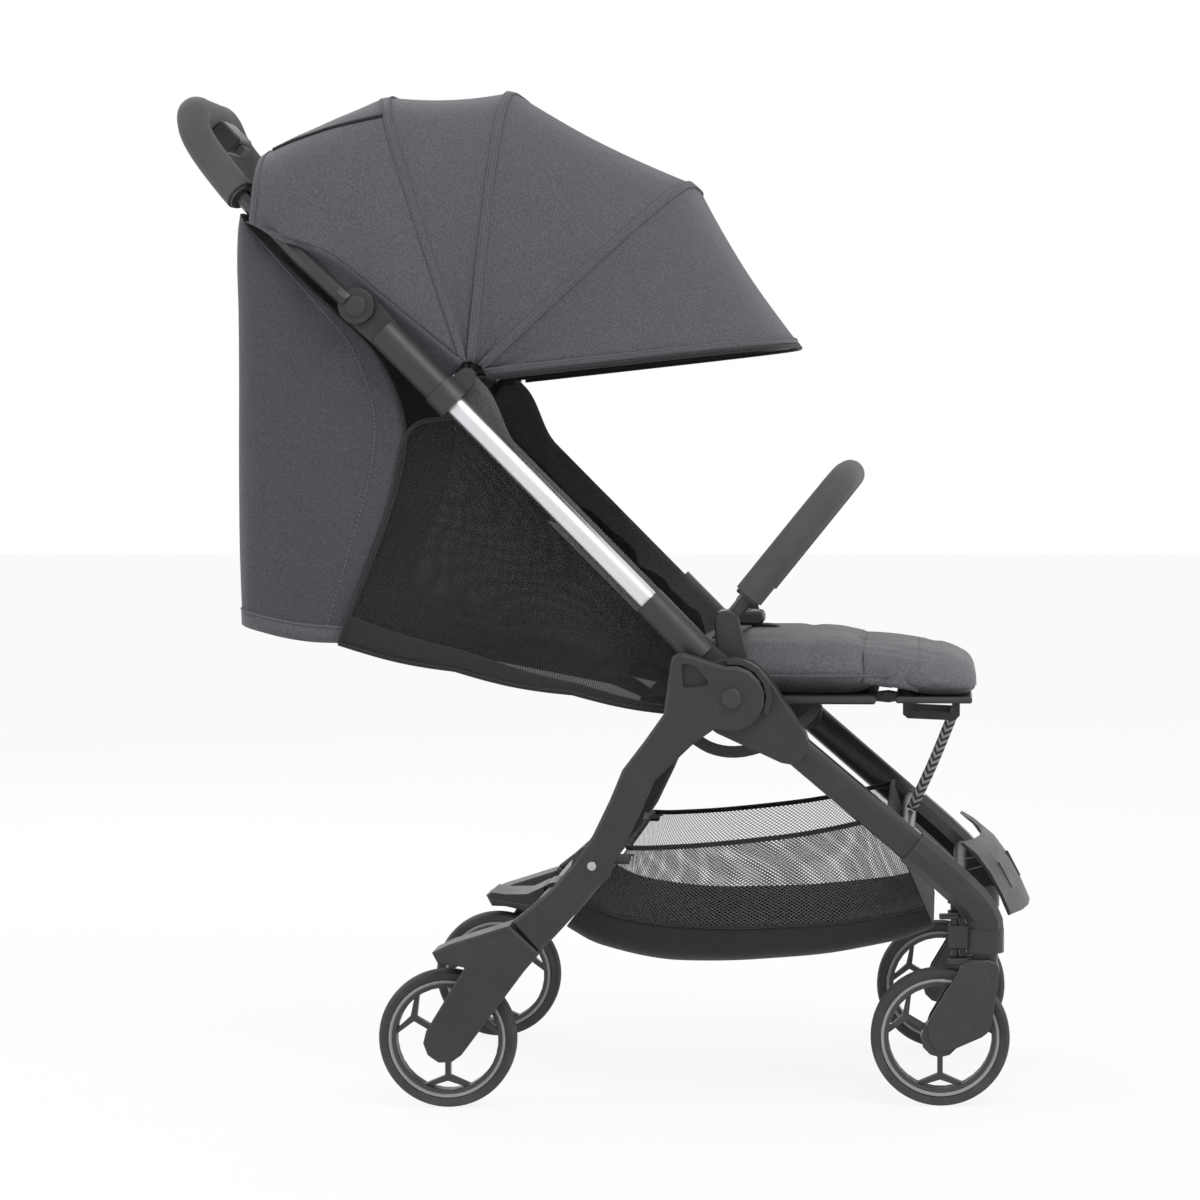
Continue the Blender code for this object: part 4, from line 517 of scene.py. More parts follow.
def tube(name, path, radius, recipe, sides=16, closed=False):
    """A round bar, cord or piping along a path."""
    curve = bpy.data.curves.new(name, "CURVE")
    curve.dimensions = "3D"
    curve.bevel_depth = radius
    curve.bevel_resolution = sides // 2 - 1
    curve.use_fill_caps = True
    spline = curve.splines.new("POLY")
    spline.points.add(len(path) - 1)
    spline.use_cyclic_u = closed
    for point, place in zip(spline.points, path):
        point.co = (*place, 1.0)
    draft = bpy.data.objects.new(name + "_draft", curve)
    bpy.context.scene.collection.objects.link(draft)
    edit = merged(evaluated_mesh(draft), 1e-6)
    bpy.data.objects.remove(draft)
    bmesh.ops.recalc_face_normals(edit, faces=edit.faces)
    return piece(name, edit, recipe, 50.0)


def wheel_ring(name, half, centre, recipe, smooth_angle=35.0):
    """Half a profile of (radius, x) points, mirrored and turned about the X axis."""
    profile = [(radius, -x) for radius, x in half] + list(reversed(half))
    edit = bmesh.new()
    corners = [edit.verts.new((x, 0.0, radius)) for radius, x in profile]
    edges = [edit.edges.new(pair) for pair in zip(corners, corners[1:] + corners[:1])]
    bmesh.ops.spin(
        edit, geom=corners + edges, cent=(0, 0, 0), axis=(1, 0, 0), dvec=(0, 0, 0),
        angle=2 * math.pi, steps=96, use_merge=True, use_normal_flip=False, use_duplicate=False,
    )
    bmesh.ops.remove_doubles(edit, verts=edit.verts, dist=1e-7)
    bmesh.ops.recalc_face_normals(edit, faces=edit.faces)
    bmesh.ops.translate(edit, vec=centre, verts=edit.verts)
    return piece(name, edit, recipe, smooth_angle)


def pin(name, start, stop, radius, recipe, edge=0.0008, sides=40):
    """A turned pin or disc with rounded rims between two places."""
    start, stop = Vector(start), Vector(stop)
    run = stop - start
    edit = bmesh.new()
    bmesh.ops.create_cone(
        edit, cap_ends=True, segments=sides, radius1=radius, radius2=radius, depth=run.length
    )
    rims = [e for e in edit.edges if abs(e.verts[0].co.z - e.verts[1].co.z) < 1e-6]
    rounded(edit, rims, edge, 3)
    turn = run.to_track_quat("Z", "Y").to_matrix().to_4x4()
    place = Matrix.Translation((start + stop) / 2)
    bmesh.ops.transform(edit, matrix=place @ turn, verts=edit.verts)
    return piece(name, edit, recipe)


def sheet(name, columns, rows, place, recipe, inside, thickness=0.0010):
    """A cloth sheet from a grid; place(u, v) gives each point and the UV map is in metres."""
    edit = bmesh.new()
    layer = edit.loops.layers.uv.new("UVMap")
    bmesh.ops.create_grid(edit, x_segments=columns, y_segments=rows, size=0.5)
    shares = {vert: (vert.co.x + 0.5, vert.co.y + 0.5) for vert in edit.verts}
    width = path_length([place(k / 40, 0.5) for k in range(41)])
    length = path_length([place(0.5, k / 40) for k in range(41)])
    for face in edit.faces:
        for loop in face.loops:
            u, v = shares[loop.vert]
            loop[layer].uv = (u * width, v * length)
    for vert, (u, v) in shares.items():
        vert.co = place(u, v)
    edit.normal_update()
    inside = Vector(inside)
    facing = sum(
        (f.calc_center_median() - inside).dot(f.normal) * f.calc_area() for f in edit.faces
    )
    if facing < 0:
        bmesh.ops.reverse_faces(edit, faces=edit.faces)
    area = sum(f.calc_area() for f in edit.faces)
    item = piece(name, edit, recipe, 60.0)
    modify(item, "SOLIDIFY", thickness=thickness, offset=-1.0)
    settled(item)
    return item


def path_length(points):
    return sum((b - a).length for a, b in zip(points, points[1:]))


def strap(name, path, width, recipe, across=(1, 0, 0), rows=None):
    """Flat webbing along a path."""
    path = [Vector(point) for point in path]

    def place(u, v):
        aside = upright(path, v) if across == "upright" else Vector(across)
        return point_on(path, v) + aside * (u - 0.5) * width

    return sheet(name, 6, rows or 4 * len(path), place, recipe, (0, 0, -5), STRAP_THICKNESS)


def upright(path, v):
    """The way across a strap that stands on edge in the side view."""
    run = point_on(path, min(v + 0.02, 1.0)) - point_on(path, max(v - 0.02, 0.0))
    return Vector((0, -run.z, run.y)).normalized()


def stitches(name, place, count):
    """A row of short threads; place(share) gives a point and the way out of the cloth."""
    edit = bmesh.new()
    for k in range(count):
        here, out = place((k + 0.3) / count)
        there, _ = place((k + 0.7) / count)
        run = there - here
        if run.length < 1e-6:
            continue
        made = bmesh.ops.create_cube(edit, size=1.0)["verts"]
        bmesh.ops.scale(edit, vec=STITCH_SIZE, verts=made)
        outward = out.normalized()
        lengthwise = run.normalized()
        sideways = outward.cross(lengthwise).normalized()
        turn = Matrix((lengthwise, sideways, lengthwise.cross(sideways))).transposed().to_4x4()
        bmesh.ops.transform(
            edit, matrix=Matrix.Translation((here + there) / 2 + outward * STITCH_LIFT) @ turn,
            verts=made,
        )
    bmesh.ops.recalc_face_normals(edit, faces=edit.faces)
    return piece(name, edit, THREAD, 30.0)


def refined(node, recipe, edge=0.0006, angle=32.0):
    """A copy of a CAD node with its small edges rounded, riding in the node's place."""
    edit = merged(frame["nodes"][node].data)
    bmesh.ops.dissolve_limit(
        edit, angle_limit=math.radians(1.0), verts=edit.verts, edges=edit.edges,
        use_dissolve_boundaries=False,
    )
    item = piece(node + "_finished", edit, recipe, angle)
    if edge:
        rounded_edges(item, edge, 2, angle)
    on_node(item, node)


# Camera, light and floor
CAMERA_PLACE = (-3.9323, -0.3571, 0.7055)
CAMERA_ANGLES = (5.3231, 2.9598, -0.2166)
CAMERA_LENS = 112.05
FLOOR_GLOW = 0.88
WORLD_LIGHT = 0.62


def set_camera():
    """The photograph's camera: side on, a little from the front and above."""
    yaw, pitch, roll = (math.radians(angle) for angle in CAMERA_ANGLES)
    level = math.cos(pitch)
    ahead = Vector((level * math.cos(yaw), level * math.sin(yaw), -math.sin(pitch)))
    right = Vector((math.sin(yaw), -math.cos(yaw), 0.0))
    up = right.cross(ahead)
    turned_right = math.cos(roll) * right + math.sin(roll) * up
    turned_up = -math.sin(roll) * right + math.cos(roll) * up
    lens = bpy.data.cameras.new("photo_camera")
    lens.lens = CAMERA_LENS
    lens.sensor_width = 36.0
    lens.clip_end = 50.0
    camera = bpy.data.objects.new("photo_camera", lens)
    bpy.context.scene.collection.objects.link(camera)
    turn = Matrix((turned_right, turned_up, -ahead)).transposed().to_4x4()
    camera.matrix_world = Matrix.Translation(CAMERA_PLACE) @ turn
    bpy.context.scene.camera = camera


def area_light(name, place, target, size, power):
    """A round soft lamp that faces a place."""
    light = bpy.data.lights.new(name, "AREA")
    light.shape = "DISK"
    light.size = size
    light.energy = power
    item = bpy.data.objects.new(name, light)
    run = Vector(target) - Vector(place)
    turn = run.to_track_quat("-Z", "Y").to_matrix().to_4x4()
    item.matrix_world = Matrix.Translation(place) @ turn
    bpy.context.scene.collection.objects.link(item)


def ray(tree, kind):
    """Whether the ray that meets a surface is of a kind."""
    return tree.node("ShaderNodeLightPath", output=f"Is {kind} Ray")


def set_stage():
    """White floor that keeps the shadow, a white surround and soft lamps."""
    edit = bmesh.new()
    bmesh.ops.create_grid(edit, x_segments=8, y_segments=8, size=14.0)
    mesh = bpy.data.meshes.new("floor")
    edit.to_mesh(mesh)
    edit.free()
    floor = bpy.data.objects.new("floor", mesh)
    bpy.context.scene.collection.objects.link(floor)
    paint = Recipe("white_floor", "none")
    white = (1, 1, 1, 1)
    paint.finished(
        Base_Color=paint.tint(paint.speckle(2, 2), (0.93, 0.93, 0.93), (0.95, 0.95, 0.95)),
        Roughness=0.9,
        Specular_IOR_Level=0.1,
    )
    lit = Value(paint, paint.shader.outputs[0])
    glow = paint.node("ShaderNodeEmission", {}, {"Color": white, "Strength": 1.0})
    seen = ray(paint, "Camera").most(ray(paint, "Glossy"))
    mixed = paint.node("ShaderNodeMixShader", {}, {0: seen * FLOOR_GLOW, 1: lit, 2: glow})
    paint.feed(paint.nodes["Material Output"], {"Surface": mixed})
    floor.data.materials.append(paint.material)
    world = bpy.data.worlds.new("studio")
    bpy.context.scene.world = world
    sky = Tree(world)
    dim, plain = (
        sky.node("ShaderNodeBackground", {}, {"Color": white, "Strength": strength})
        for strength in (WORLD_LIGHT, 1.0)
    )
    seen = ray(sky, "Camera").most(ray(sky, "Transmission")).most(ray(sky, "Glossy"))
    mixed = sky.node("ShaderNodeMixShader", {}, {0: seen, 1: dim, 2: plain})
    sky.feed(sky.nodes["World Output"], {"Surface": mixed})
    area_light("key", (-1.6, -1.3, 2.6), (0, 0, 0.5), 1.6, 34.0)
    area_light("fill", (2.2, 1.2, 2.2), (0, 0, 0.5), 2.0, 26.0)
    area_light("rear", (-1.0, 2.4, 1.8), (0, 0.1, 0.6), 1.6, 16.0)
    bpy.context.scene.view_settings.view_transform = "Standard"


# Wheels, with half profiles as (radius, distance from the wheel's middle)
TYRE_PROFILE = (
    (0.0599, 0.0104), (0.0640, 0.01261), (0.0668, 0.0130), (0.0688, 0.01092), (0.0696, 0.00715),
    (0.0700, 0.00468), (0.0690, 0.00403), (0.0690, 0.00325), (0.0700, 0.0026),
)
# Profile of the pale ring at the tyre's inner edge, which is a painted highlight
SHINE_RING_PROFILE = ((0.0562, 0.0100), (0.0575, 0.0114), (0.0592, 0.0114), (0.0598, 0.0096))


def wheels():
    """Tyres with a grooved tread, a pale ring inside each that is a painted highlight at the tyre's
    edge, and the rims.
    """
    for end, x, y in (("front", FRONT_WHEEL_X, FRONT_AXLE_Y), ("rear", REAR_WHEEL_X, REAR_AXLE_Y)):
        for side, sign in SIDES:
            centre = (sign * x, y, AXLE_HEIGHT)
            tread = wheel_ring(f"{end}_tyre_tread_{side}", TYRE_PROFILE, centre, TYRE, 40.0)
            on_node(tread, f"{end}_tyre_{side}")
            shine_ring = wheel_ring(f"{end}_rim_bead_{side}", SHINE_RING_PROFILE, centre, RIM_HIGHLIGHT_PAINT)
            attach(shine_ring, f"{end}_wheel_{side}")
            refined(f"{end}_rim_{side}", RIM_PLASTIC, 0.0008)


# Frame


def tubes():
    """Drawn tubes between the lower and the upper sleeves."""
    for side, sign in SIDES:
        start = (sign * FRAME_X, *along_frame(0.095, TUBE_RISE))
        stop = (sign * FRAME_X, *along_frame(0.470, TUBE_RISE))
        bar = pin(f"upper_tube_drawn_{side}", start, stop, TUBE_RADIUS, ALUMINIUM)
        on_node(bar, f"upper_tube_{side}")


def hardware():
    """CAD pieces whose shape stays, with rounded edges and their own finish."""
    for side, _ in SIDES:
        for node in ("lower_sleeve", "upper_sleeve", "canopy_clamp", "caster_fork", "swivel_lock"):
            refined(f"{node}_{side}", PLASTIC)
        refined(f"hub_{side}", HUB_PLASTIC, 0.0008)
        refined(f"rear_leg_{side}", HUB_PLASTIC, 0.0008)
        refined(f"front_leg_{side}", COATING, 0.0006, 28.0)
        refined(f"brake_pin_{side}", STEEL, 0.0)
    boards = ("footrest", "brake_pedal", "seat_board", "backrest_board", "calf_board")
    for nodes, recipe, edge in (
        (boards + ("fold_button_housing", "buckle", "bumper_bar"), PLASTIC, 0.0006),
        (("fold_button", "buckle_button"), GRIP, 0.0004),
        (("front_cross_bar", "rear_cross_tube", "handle_bar"), COATING, 0.0005),
    ):
        for node in nodes:
            refined(node, recipe, edge)
    for name in BOW_NAMES:
        refined(f"{name}_bow", BLACKENED, 0.0, 50.0)


def fasteners():
    """Bolt heads and caps on the joints, seen from outside."""
    knuckle = along_frame(KNUCKLE_REACH, TUBE_RISE)
    screw = (HUB[0] + 0.140, HUB[1] - 0.168)
    kinds = (
        ("knuckle_cap", "handle", knuckle, 0.2165, 0.2201, 0.0105, (PLASTIC, 0.0007)),
        (
            "hub_cap", "front_frame", HUB, HUB_FACE - 0.001, HUB_FACE + 0.0052, 0.0092,
            (PLASTIC, 0.0009),
        ),
        ("leg_screw", "rear_frame", screw, 0.2200, HUB_FACE + 0.0012, 0.0045, (STEEL, 0.0005, 24)),
    )
    for side, sign in SIDES:
        for name, body, (y, z), near, far, radius, details in kinds:
            start, stop = (sign * near, y, z), (sign * far, y, z)
            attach(pin(f"{name}_{side}", start, stop, radius, *details), body)


# Grips


def handle_path():
    """Half of the handle, from its left arm up to the middle of its top."""
    outside = FRAME_X + HANDLE_TUBE_RADIUS + 0.001
    inward = FRAME_X - HANDLE_HALF_WIDTH
    stations = [
        (0.039, 0.0035, outside), (0.078, 0.0030, outside), (0.164, 0.0010, FRAME_X + 0.002),
        (0.290, -0.0020, FRAME_X - inward * 0.16), (0.574, -0.0050, FRAME_X - inward * 0.55),
        (0.716, -0.0040, HANDLE_HALF_WIDTH + inward * 0.27),
        (0.841, -0.0010, HANDLE_HALF_WIDTH + inward * 0.11), (0.923, 0.0040, HANDLE_HALF_WIDTH),
        (0.979, 0.0118, HANDLE_HALF_WIDTH * 0.88), (1.000, HANDLE_RISE, HANDLE_HALF_WIDTH * 0.65),
        (1.000, HANDLE_RISE, HANDLE_HALF_WIDTH * 0.32),
    ]
    reach = HANDLE_REACH - KNUCKLE_REACH
    points = [(x, *along_frame(KNUCKLE_REACH + reach * share, rise)) for share, rise, x in stations]
    return smooth_path(points, 6)


def bumper_path():
    """Half of the bumper bar, from its left end up to the middle of its top."""
    pivot = Vector((-0.136, 0.488))
    angle = math.radians(129.0)
    length = 0.186
    top = pivot + Vector((math.cos(angle), math.sin(angle))) * length
    points = []
    for reach, x in (
        (0.000, 0.1700), (0.090, 0.1690), (0.138, 0.1610), (0.168, 0.1450), (0.182, 0.1200),
        (length, 0.080),
    ):
        points.append((x, *pivot.lerp(top, reach / length)))
    return smooth_path(points, 6)


def beyond(path, distance):
    """What is left of a path past a distance along it."""
    for i, (here, after) in enumerate(zip(path, path[1:])):
        step = (after - here).length
        if distance < step:
            return [here.lerp(after, distance / step)] + path[i + 1 :]
        distance -= step
    return path[-1:]


def both_sides(half):
    """A path to the middle and its mirror image after it."""
    return half + [Vector((-p.x, p.y, p.z)) for p in reversed(half)]


def grips():
    """Foam sleeves on the handle and the bumper bar, with a ring at each end."""
    for name, half, start, radius, node, body in (
        ("handle", handle_path(), 0.177, 0.0165, "handle_grip", "handle"),
        ("bumper", bumper_path(), 0.034, 0.0155, "bumper_grip", "bumper"),
    ):
        route = both_sides(beyond(half, start))
        sleeve = tube(f"{name}_foam", route, radius, GRIP, 28)
        rounded_edges(sleeve, 0.0035, 3, 60.0)
        on_node(sleeve, node)
        for side, near, far in (("left", 0, 1), ("right", -1, -2)):
            here = route[near]
            run = (route[far] - here).normalized()
            start, stop = here - run * 0.004, here + run * 0.001
            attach(pin(f"{name}_collar_{side}", start, stop, radius * 0.86, PLASTIC), body)


# Canopy
ARCH_SAMPLES = 1200
ARCH_STEPS = 80
SAG = 0.004
CREASE_DEPTH = 0.0035


def arch_table(square, width, height):
    """Even steps from the foot to the top of a squarish quarter arch."""
    dense = []
    for i in range(ARCH_SAMPLES + 1):
        angle = math.pi / 2 * i / ARCH_SAMPLES
        across = math.cos(angle) ** square if i < ARCH_SAMPLES else 0.0
        dense.append((across, math.sin(angle) ** square))
    reach = [0.0]
    for a, b in zip(dense, dense[1:]):
        reach.append(reach[-1] + math.hypot((b[0] - a[0]) * width, (b[1] - a[1]) * height))
    table = []
    i = 0
    for k in range(ARCH_STEPS + 1):
        goal = reach[-1] * k / ARCH_STEPS
        while i < len(dense) - 2 and reach[i + 1] < goal:
            i += 1
        span = max(reach[i + 1] - reach[i], 1e-12)
        share = min(max((goal - reach[i]) / span, 0.0), 1.0)
        table.append(tuple(a + (b - a) * share for a, b in zip(dense[i], dense[i + 1])))
    return table


BOW_ARCH = arch_table(0.45, 0.19, 0.28)
CURTAIN_ARCH = arch_table(0.28, 0.19, 0.12)


def on_arch(profile, u, table=BOW_ARCH):
    """The place at share u of an arch from its left foot to its right foot."""
    half_width, foot, top = profile
    at = (1 - abs(2 * u - 1)) * (len(table) - 1)
    i = min(int(at), len(table) - 2)
    share = at - i
    across, up = (a + (b - a) * share for a, b in zip(table[i], table[i + 1]))
    side = 1 if u < 0.5 else -1
    y = foot[0] + (top[0] - foot[0]) * up
    z = foot[1] + (top[1] - foot[1]) * up
    return Vector((side * half_width * across, y, z))


def canopy_profiles():
    """Outer arches of the canopy cloth: four bows from the rear, then the rear border."""
    pivot = CANOPY_PIVOT.yz
    bows = []
    for order, top in enumerate(BOW_TOPS):
        run = (Vector(top) - pivot).normalized()
        outer = Vector(top) + run * COVER_GROW
        foot = pivot + run * COVER_FOOT
        bows.append((BOW_X - order * BOW_STEP + COVER_GROW, tuple(foot), tuple(outer)))
    border = []
    for inset, foot, foot_rise, top, top_rise in REAR_BORDER:
        low = along_frame(KNUCKLE_REACH + foot, foot_rise)
        high = along_frame(KNUCKLE_REACH + top, top_rise)
        border.append((FRAME_X - inset, low, high))
    return bows, border


BOWS, BORDER = canopy_profiles()


def crease(place, seed):
    """Folds that run out from the canopy's pivot and fade upward."""
    arm = place - CANOPY_PIVOT
    reach = arm.yz.length
    angle = math.atan2(arm.z, arm.y)
    side = 1 if place.x > 0 else -1
    near = math.exp(-((reach / 0.16) ** 2))
    radial = drift(angle * 7.0, side * 3.0, seed)
    broad = drift(angle * 2.2, reach * 9.0, side * 2.0 + seed)
    return CREASE_DEPTH * (radial * near * 1.6 + broad * min(1.0, reach / 0.12) * 0.6)


def gore(first, second, seed):
    """Cloth between two bows, drawn in between them."""

    def place(u, v):
        a, b = on_arch(first, u), on_arch(second, u)
        point = a.lerp(b, v)
        arm = CANOPY_PIVOT - point
        sagged = SAG * min(1.0, arm.yz.length / 0.25)
        pull = (sagged + crease(point, seed)) * bulge(v)
        return point + arm.normalized() * pull

    return place


def rear_cover(u, v):
    """Cloth from the rear bow back to its border at the handle's arms."""
    point = point_on([on_arch(profile, u) for profile in [BOWS[0]] + BORDER], v)
    inner = (frame_place(KNUCKLE_REACH + 0.06, 0.0) - point).normalized()
    return point + inner * 0.003 * drift(u * 9.0, v * 2.5, 4.0) * bulge(v)


def lifted(point, lift=0.0009):
    """A place moved out of the canopy's cloth."""
    return point + (point - CANOPY_PIVOT).normalized() * lift


def bow_tape(index, width=0.009):
    """Tape over a bow that bends with the cloth on both sides of it."""
    here = BOWS[index]
    front = BOWS[index + 1] if index < 3 else None
    rear = BOWS[index - 1] if index > 0 else BORDER[0]

    def place(u, v):
        point = on_arch(here, u)
        across = (v - 0.5) * width
        other = front if across > 0 and front else rear
        run = (on_arch(other, u) - point).normalized()
        if across > 0 and not front:
            run = -run
        return lifted(point) + run * abs(across)

    return place


def seam_row(place, v):
    """Where the stitches of a row along a canopy sheet go."""
    def at(u):
        point = place(u, v)
        return point, point - CANOPY_PIVOT

    return at


def canopy_trims():
    """Tapes and seams over the bows behind the visor, by the bow's name."""
    trims = {}
    bodies = ("upper_frame", "canopy_middle", "canopy_front")
    for index, (name, body) in enumerate(zip(BOW_NAMES, bodies)):
        place = bow_tape(index)
        tape = sheet(f"canopy_tape_{name}", 120, 2, place, TAPE, CANOPY_PIVOT, TAPE_THICKNESS)
        trims[name] = [tape] + [
            stitches(f"canopy_stitches_{name}_{k}", seam_row(place, v), 190)
            for k, v in enumerate((0.14, 0.86))
        ]
        for item in trims[name]:
            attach(item, body)
    return trims


def visor_trims():
    """Hem of the visor with its seam and the cord that binds it."""
    edge = bow_tape(3, 0.016)

    def hem(u, v):
        return edge(u, v * 0.5)

    bound = [on_arch(BOWS[3], k / 120) + Vector((0, -0.0006, -0.0030)) for k in range(121)]
    trims = [
        sheet("visor_hem", 120, 2, hem, TAPE, CANOPY_PIVOT, TAPE_THICKNESS),
        stitches("visor_hem_stitches", seam_row(hem, 0.15), 200),
        tube("visor_binding", bound, VISOR_CORD, LINING, 10),
    ]
    for item in trims:
        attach(item, "canopy_visor")
    return trims


def canopy():
    """Three gores of cloth between the bows and a rear panel behind them."""
    trims = canopy_trims()
    pivot = CANOPY_PIVOT
    for order, (name, node, before, after) in enumerate((
        ("rear", "canopy_cover", -0.030, 0.030),
        ("front", "canopy_cover", -0.0575, 0.090),
        ("visor", "visor_cover", -0.1123, 0.080),
    )):
        first, second = BOW_NAMES[order : order + 2]
        place = gore(BOWS[order], BOWS[order + 1], order * 7.0)
        item = sheet(f"canopy_gore_{name}", 96, 22, place, CANOPY_CLOTH, pivot)
        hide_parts(node)
        # The way out of the plane of the still bow, about the pivot
        still, moving = (Vector(top) - pivot.yz for top in BOW_TOPS[order : order + 2])
        middle = still if order else still.normalized() + moving.normalized()
        out = Vector((0, -middle.y, middle.x)).normalized()
        if out.yz.dot(moving) < 0:
            out = -out
        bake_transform(item)
        trim = trims[second] if second in trims else visor_trims()
    rear_panel()


def rear_panel():
    """Cloth behind the rear bow down to the handle's arms, with a lifted flap on top."""
    panel = sheet("canopy_rear_panel", 96, 28, rear_cover, CANOPY_CLOTH, CANOPY_PIVOT)
    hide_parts("canopy_rear_cover")

    def border(u, v):
        return lifted(rear_cover(u, 0.955 + 0.045 * v))

    def flap(u, v):
        point = rear_cover(0.315 + 0.37 * u, 0.035 + 0.86 * v)
        return lifted(point, 0.0016 + 0.0022 * bulge(u) * bulge(v) ** 0.5)

    trim = [
        sheet("canopy_border_tape", 110, 2, border, TAPE, CANOPY_PIVOT, TAPE_THICKNESS),
        stitches("canopy_border_stitches", seam_row(border, 0.1), 190),
        sheet("canopy_flap", 44, 26, flap, CANOPY_CLOTH, CANOPY_PIVOT),
    ]
    # Black cords along the flap's sides are its zips, and their black also paints the shadow under
    # the flap's lifted edge
    for side, u in (("left", 0.0), ("right", 1.0)):
        path = [lifted(flap(u, k / 24), -0.0004) for k in range(25)]
        trim.append(tube(f"canopy_flap_zip_{side}", path, ZIP_AND_SHADOW_CORD, LINING, 10))
    trim.append(stitches("canopy_flap_stitches", seam_row(flap, 0.04), 60))
    for item in trim + [panel]:
        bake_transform(item)


# Curtain and sides, with levels as (half width, foot, top) from the hem up
CURTAIN_X = FRAME_X - SLEEVE_RADIUS - 0.0024
CURTAIN_BACK = 0.372
CURTAIN_LEVELS = (
    (CURTAIN_X - 0.010, (0.258, 0.468), (CURTAIN_BACK, 0.480)),
    (CURTAIN_X - 0.004, (0.228, 0.545), (CURTAIN_BACK + 0.002, 0.560)),
    (CURTAIN_X, (0.199, 0.622), (CURTAIN_BACK + 0.002, 0.650)),
    (CURTAIN_X, (0.190, 0.690), (CURTAIN_BACK + 0.001, 0.735)),
    (CURTAIN_X, (0.2165, 0.757), (CURTAIN_BACK, 0.805)),
    (CURTAIN_X - 0.003, (0.262, 0.803), (CURTAIN_BACK, 0.855)),
    (CURTAIN_X - 0.010, (0.306, 0.845), (CURTAIN_BACK - 0.002, 0.888)),
    (CURTAIN_X - 0.018, (0.341, 0.878), (CURTAIN_BACK - 0.006, 0.906)),
)


def curtain(u, v):
    """Place on the curtain: u across from left to right, v from its hem up."""
    point = point_on([on_arch(level, u, CURTAIN_ARCH) for level in CURTAIN_LEVELS], v)
    inward = Vector((0, 0.25, point.z)) - point
    inward.z = 0
    folds = drift(u * 16.0, v * 1.6, 9.0)
    hang = 0.0045 * folds * (1 - 0.5 * v) * min(1.0, 6 * u, 6 * (1 - u))
    drop = -0.004 * math.sin((2 * u - 1) * 9.0) * (1 - v) ** 6
    return point + inward.normalized() * hang + Vector((0, 0, drop))


def rear_curtain():
    """Cloth that hangs behind the seat, with a sewn hem, side seams and bound edges."""
    inside = (0, 0.2, 0.68)
    item = sheet("curtain_cloth_panel", 110, 64, curtain, CURTAIN_CLOTH, inside, 0.0011)
    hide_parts("rear_curtain")

    def outward(point):
        return point - Vector((0, 0.2, point.z))

    def raised(u, v, lift):
        point = curtain(u, v)
        return point + outward(point).normalized() * lift

    def hem(u, v):
        return raised(u, 0.032 * v, 0.0009)

    def hem_row(share):
        point = hem(share, 0.9)
        return point, outward(point)

    trim = [
        sheet("curtain_hem", 110, 2, hem, TAPE, inside, TAPE_THICKNESS),
        stitches("curtain_hem_stitches", hem_row, 170),
    ]
    for side, seam in (("left", 0.035), ("right", 0.965)):

        def seam_place(share, seam=seam):
            point = raised(seam, share, 0.0006)
            return point, outward(point)

        trim.append(stitches(f"curtain_seam_{side}", seam_place, 110))
    for side, edge in (("left", 0.0), ("right", 1.0)):
        path = [raised(edge, 0.004 + 0.972 * k / 40, 0.0004) for k in range(41)]
        trim.append(tube(f"curtain_edge_{side}", path, EDGE_CORD, LINING, 10))
    for cloth_piece in [item] + trim:
        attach(cloth_piece, "upper_frame")


def side_net(sign):
    """Mesh side of the seat between the tube, the seat's edge and the curtain."""
    outer = FRAME_X - SLEEVE_RADIUS - 0.0004
    tip = along_frame(COLLAR_START - 0.006, -0.004)
    foot = (0.259, 0.4665)
    low = [(HUB[0] + 0.046, HUB[1] - 0.020), (0.020, 0.4165), (0.140, 0.4400), foot]
    high = [
        (HUB[0] + 0.040, HUB[1] + 0.040), along_frame(0.105, 0.004), along_frame(0.270, 0.0), tip
    ]
    rear = [foot, (0.210, 0.590), (0.186, 0.680), tip]
    low, high, rear = ([Vector((0, *p)) for p in line] for line in (low, high, rear))

    def place(u, v):
        bottom, top = point_on(low, u), point_on(high, u)
        point = bottom.lerp(top, v)
        straight = low[-1].lerp(high[-1], v)
        point += (point_on(rear, v) - straight) * u
        held = bulge(u) ** 0.5 * bulge(v) ** 0.5
        slack = drift(point.y * 11.0, point.z * 15.0, 2.0 + sign)
        ripple = drift((point.y + point.z) * 34.0, (point.y - point.z) * 9.0, 5.0)
        scallop = -0.0035 * abs(math.sin(u * math.pi * 3.0)) * (1 - v) ** 5
        depth = 0.0006 + held * (0.009 * slack + 0.003 * ripple)
        return Vector((sign * (outer - depth), point.y, point.z + scallop))

    return place


def side_linings():
    """Black cloth along the inner sides of the tubes, painted lighter than the black lining to
    stand in for light in the canopy's shade, and skirts under the canopy's border.
    """
    feet = [Vector((0, *BOWS[0][1]))] + [Vector((0, *row[1])) for row in BORDER]
    for side, sign in SIDES:
        x = sign * (FRAME_X - SLEEVE_RADIUS - 0.0026)

        def wing(u, v, x=x, sign=sign):
            reach = 0.046 + 0.372 * u
            crown = min(max((reach - 0.33) / 0.07, 0.0), 1.0)
            height = 0.0315 + 0.020 * crown * crown * (3 - 2 * crown)
            y, z = along_frame(reach, -0.012 + height * v)
            return Vector((x - sign * 0.0025 * drift(u * 14.0, v * 2.0, 3.0 + sign), y, z))

        # The band's black cloth is painted lighter to stand in for light under the canopy
        band = sheet(f"tube_lining_{side}", 70, 6, wing, LINING_PAINTED_LIGHTER, (0, 0.1, 0.6))
        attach(band, "upper_frame")

        def skirt(u, v, sign=sign):
            foot = point_on(feet, u)
            point = foot.lerp(frame_place(0.425 + 0.235 * u, -0.006), v)
            inset = 0.0075 + 0.0095 * math.sin(math.pi / 2 * min(1.0, 2.0 * v))
            return Vector((sign * (FRAME_X - inset), point.y, point.z))

        flap = sheet(f"canopy_skirt_{side}", 60, 8, skirt, CANOPY_CLOTH, (0, 0.2, 0.8))
        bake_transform(flap)


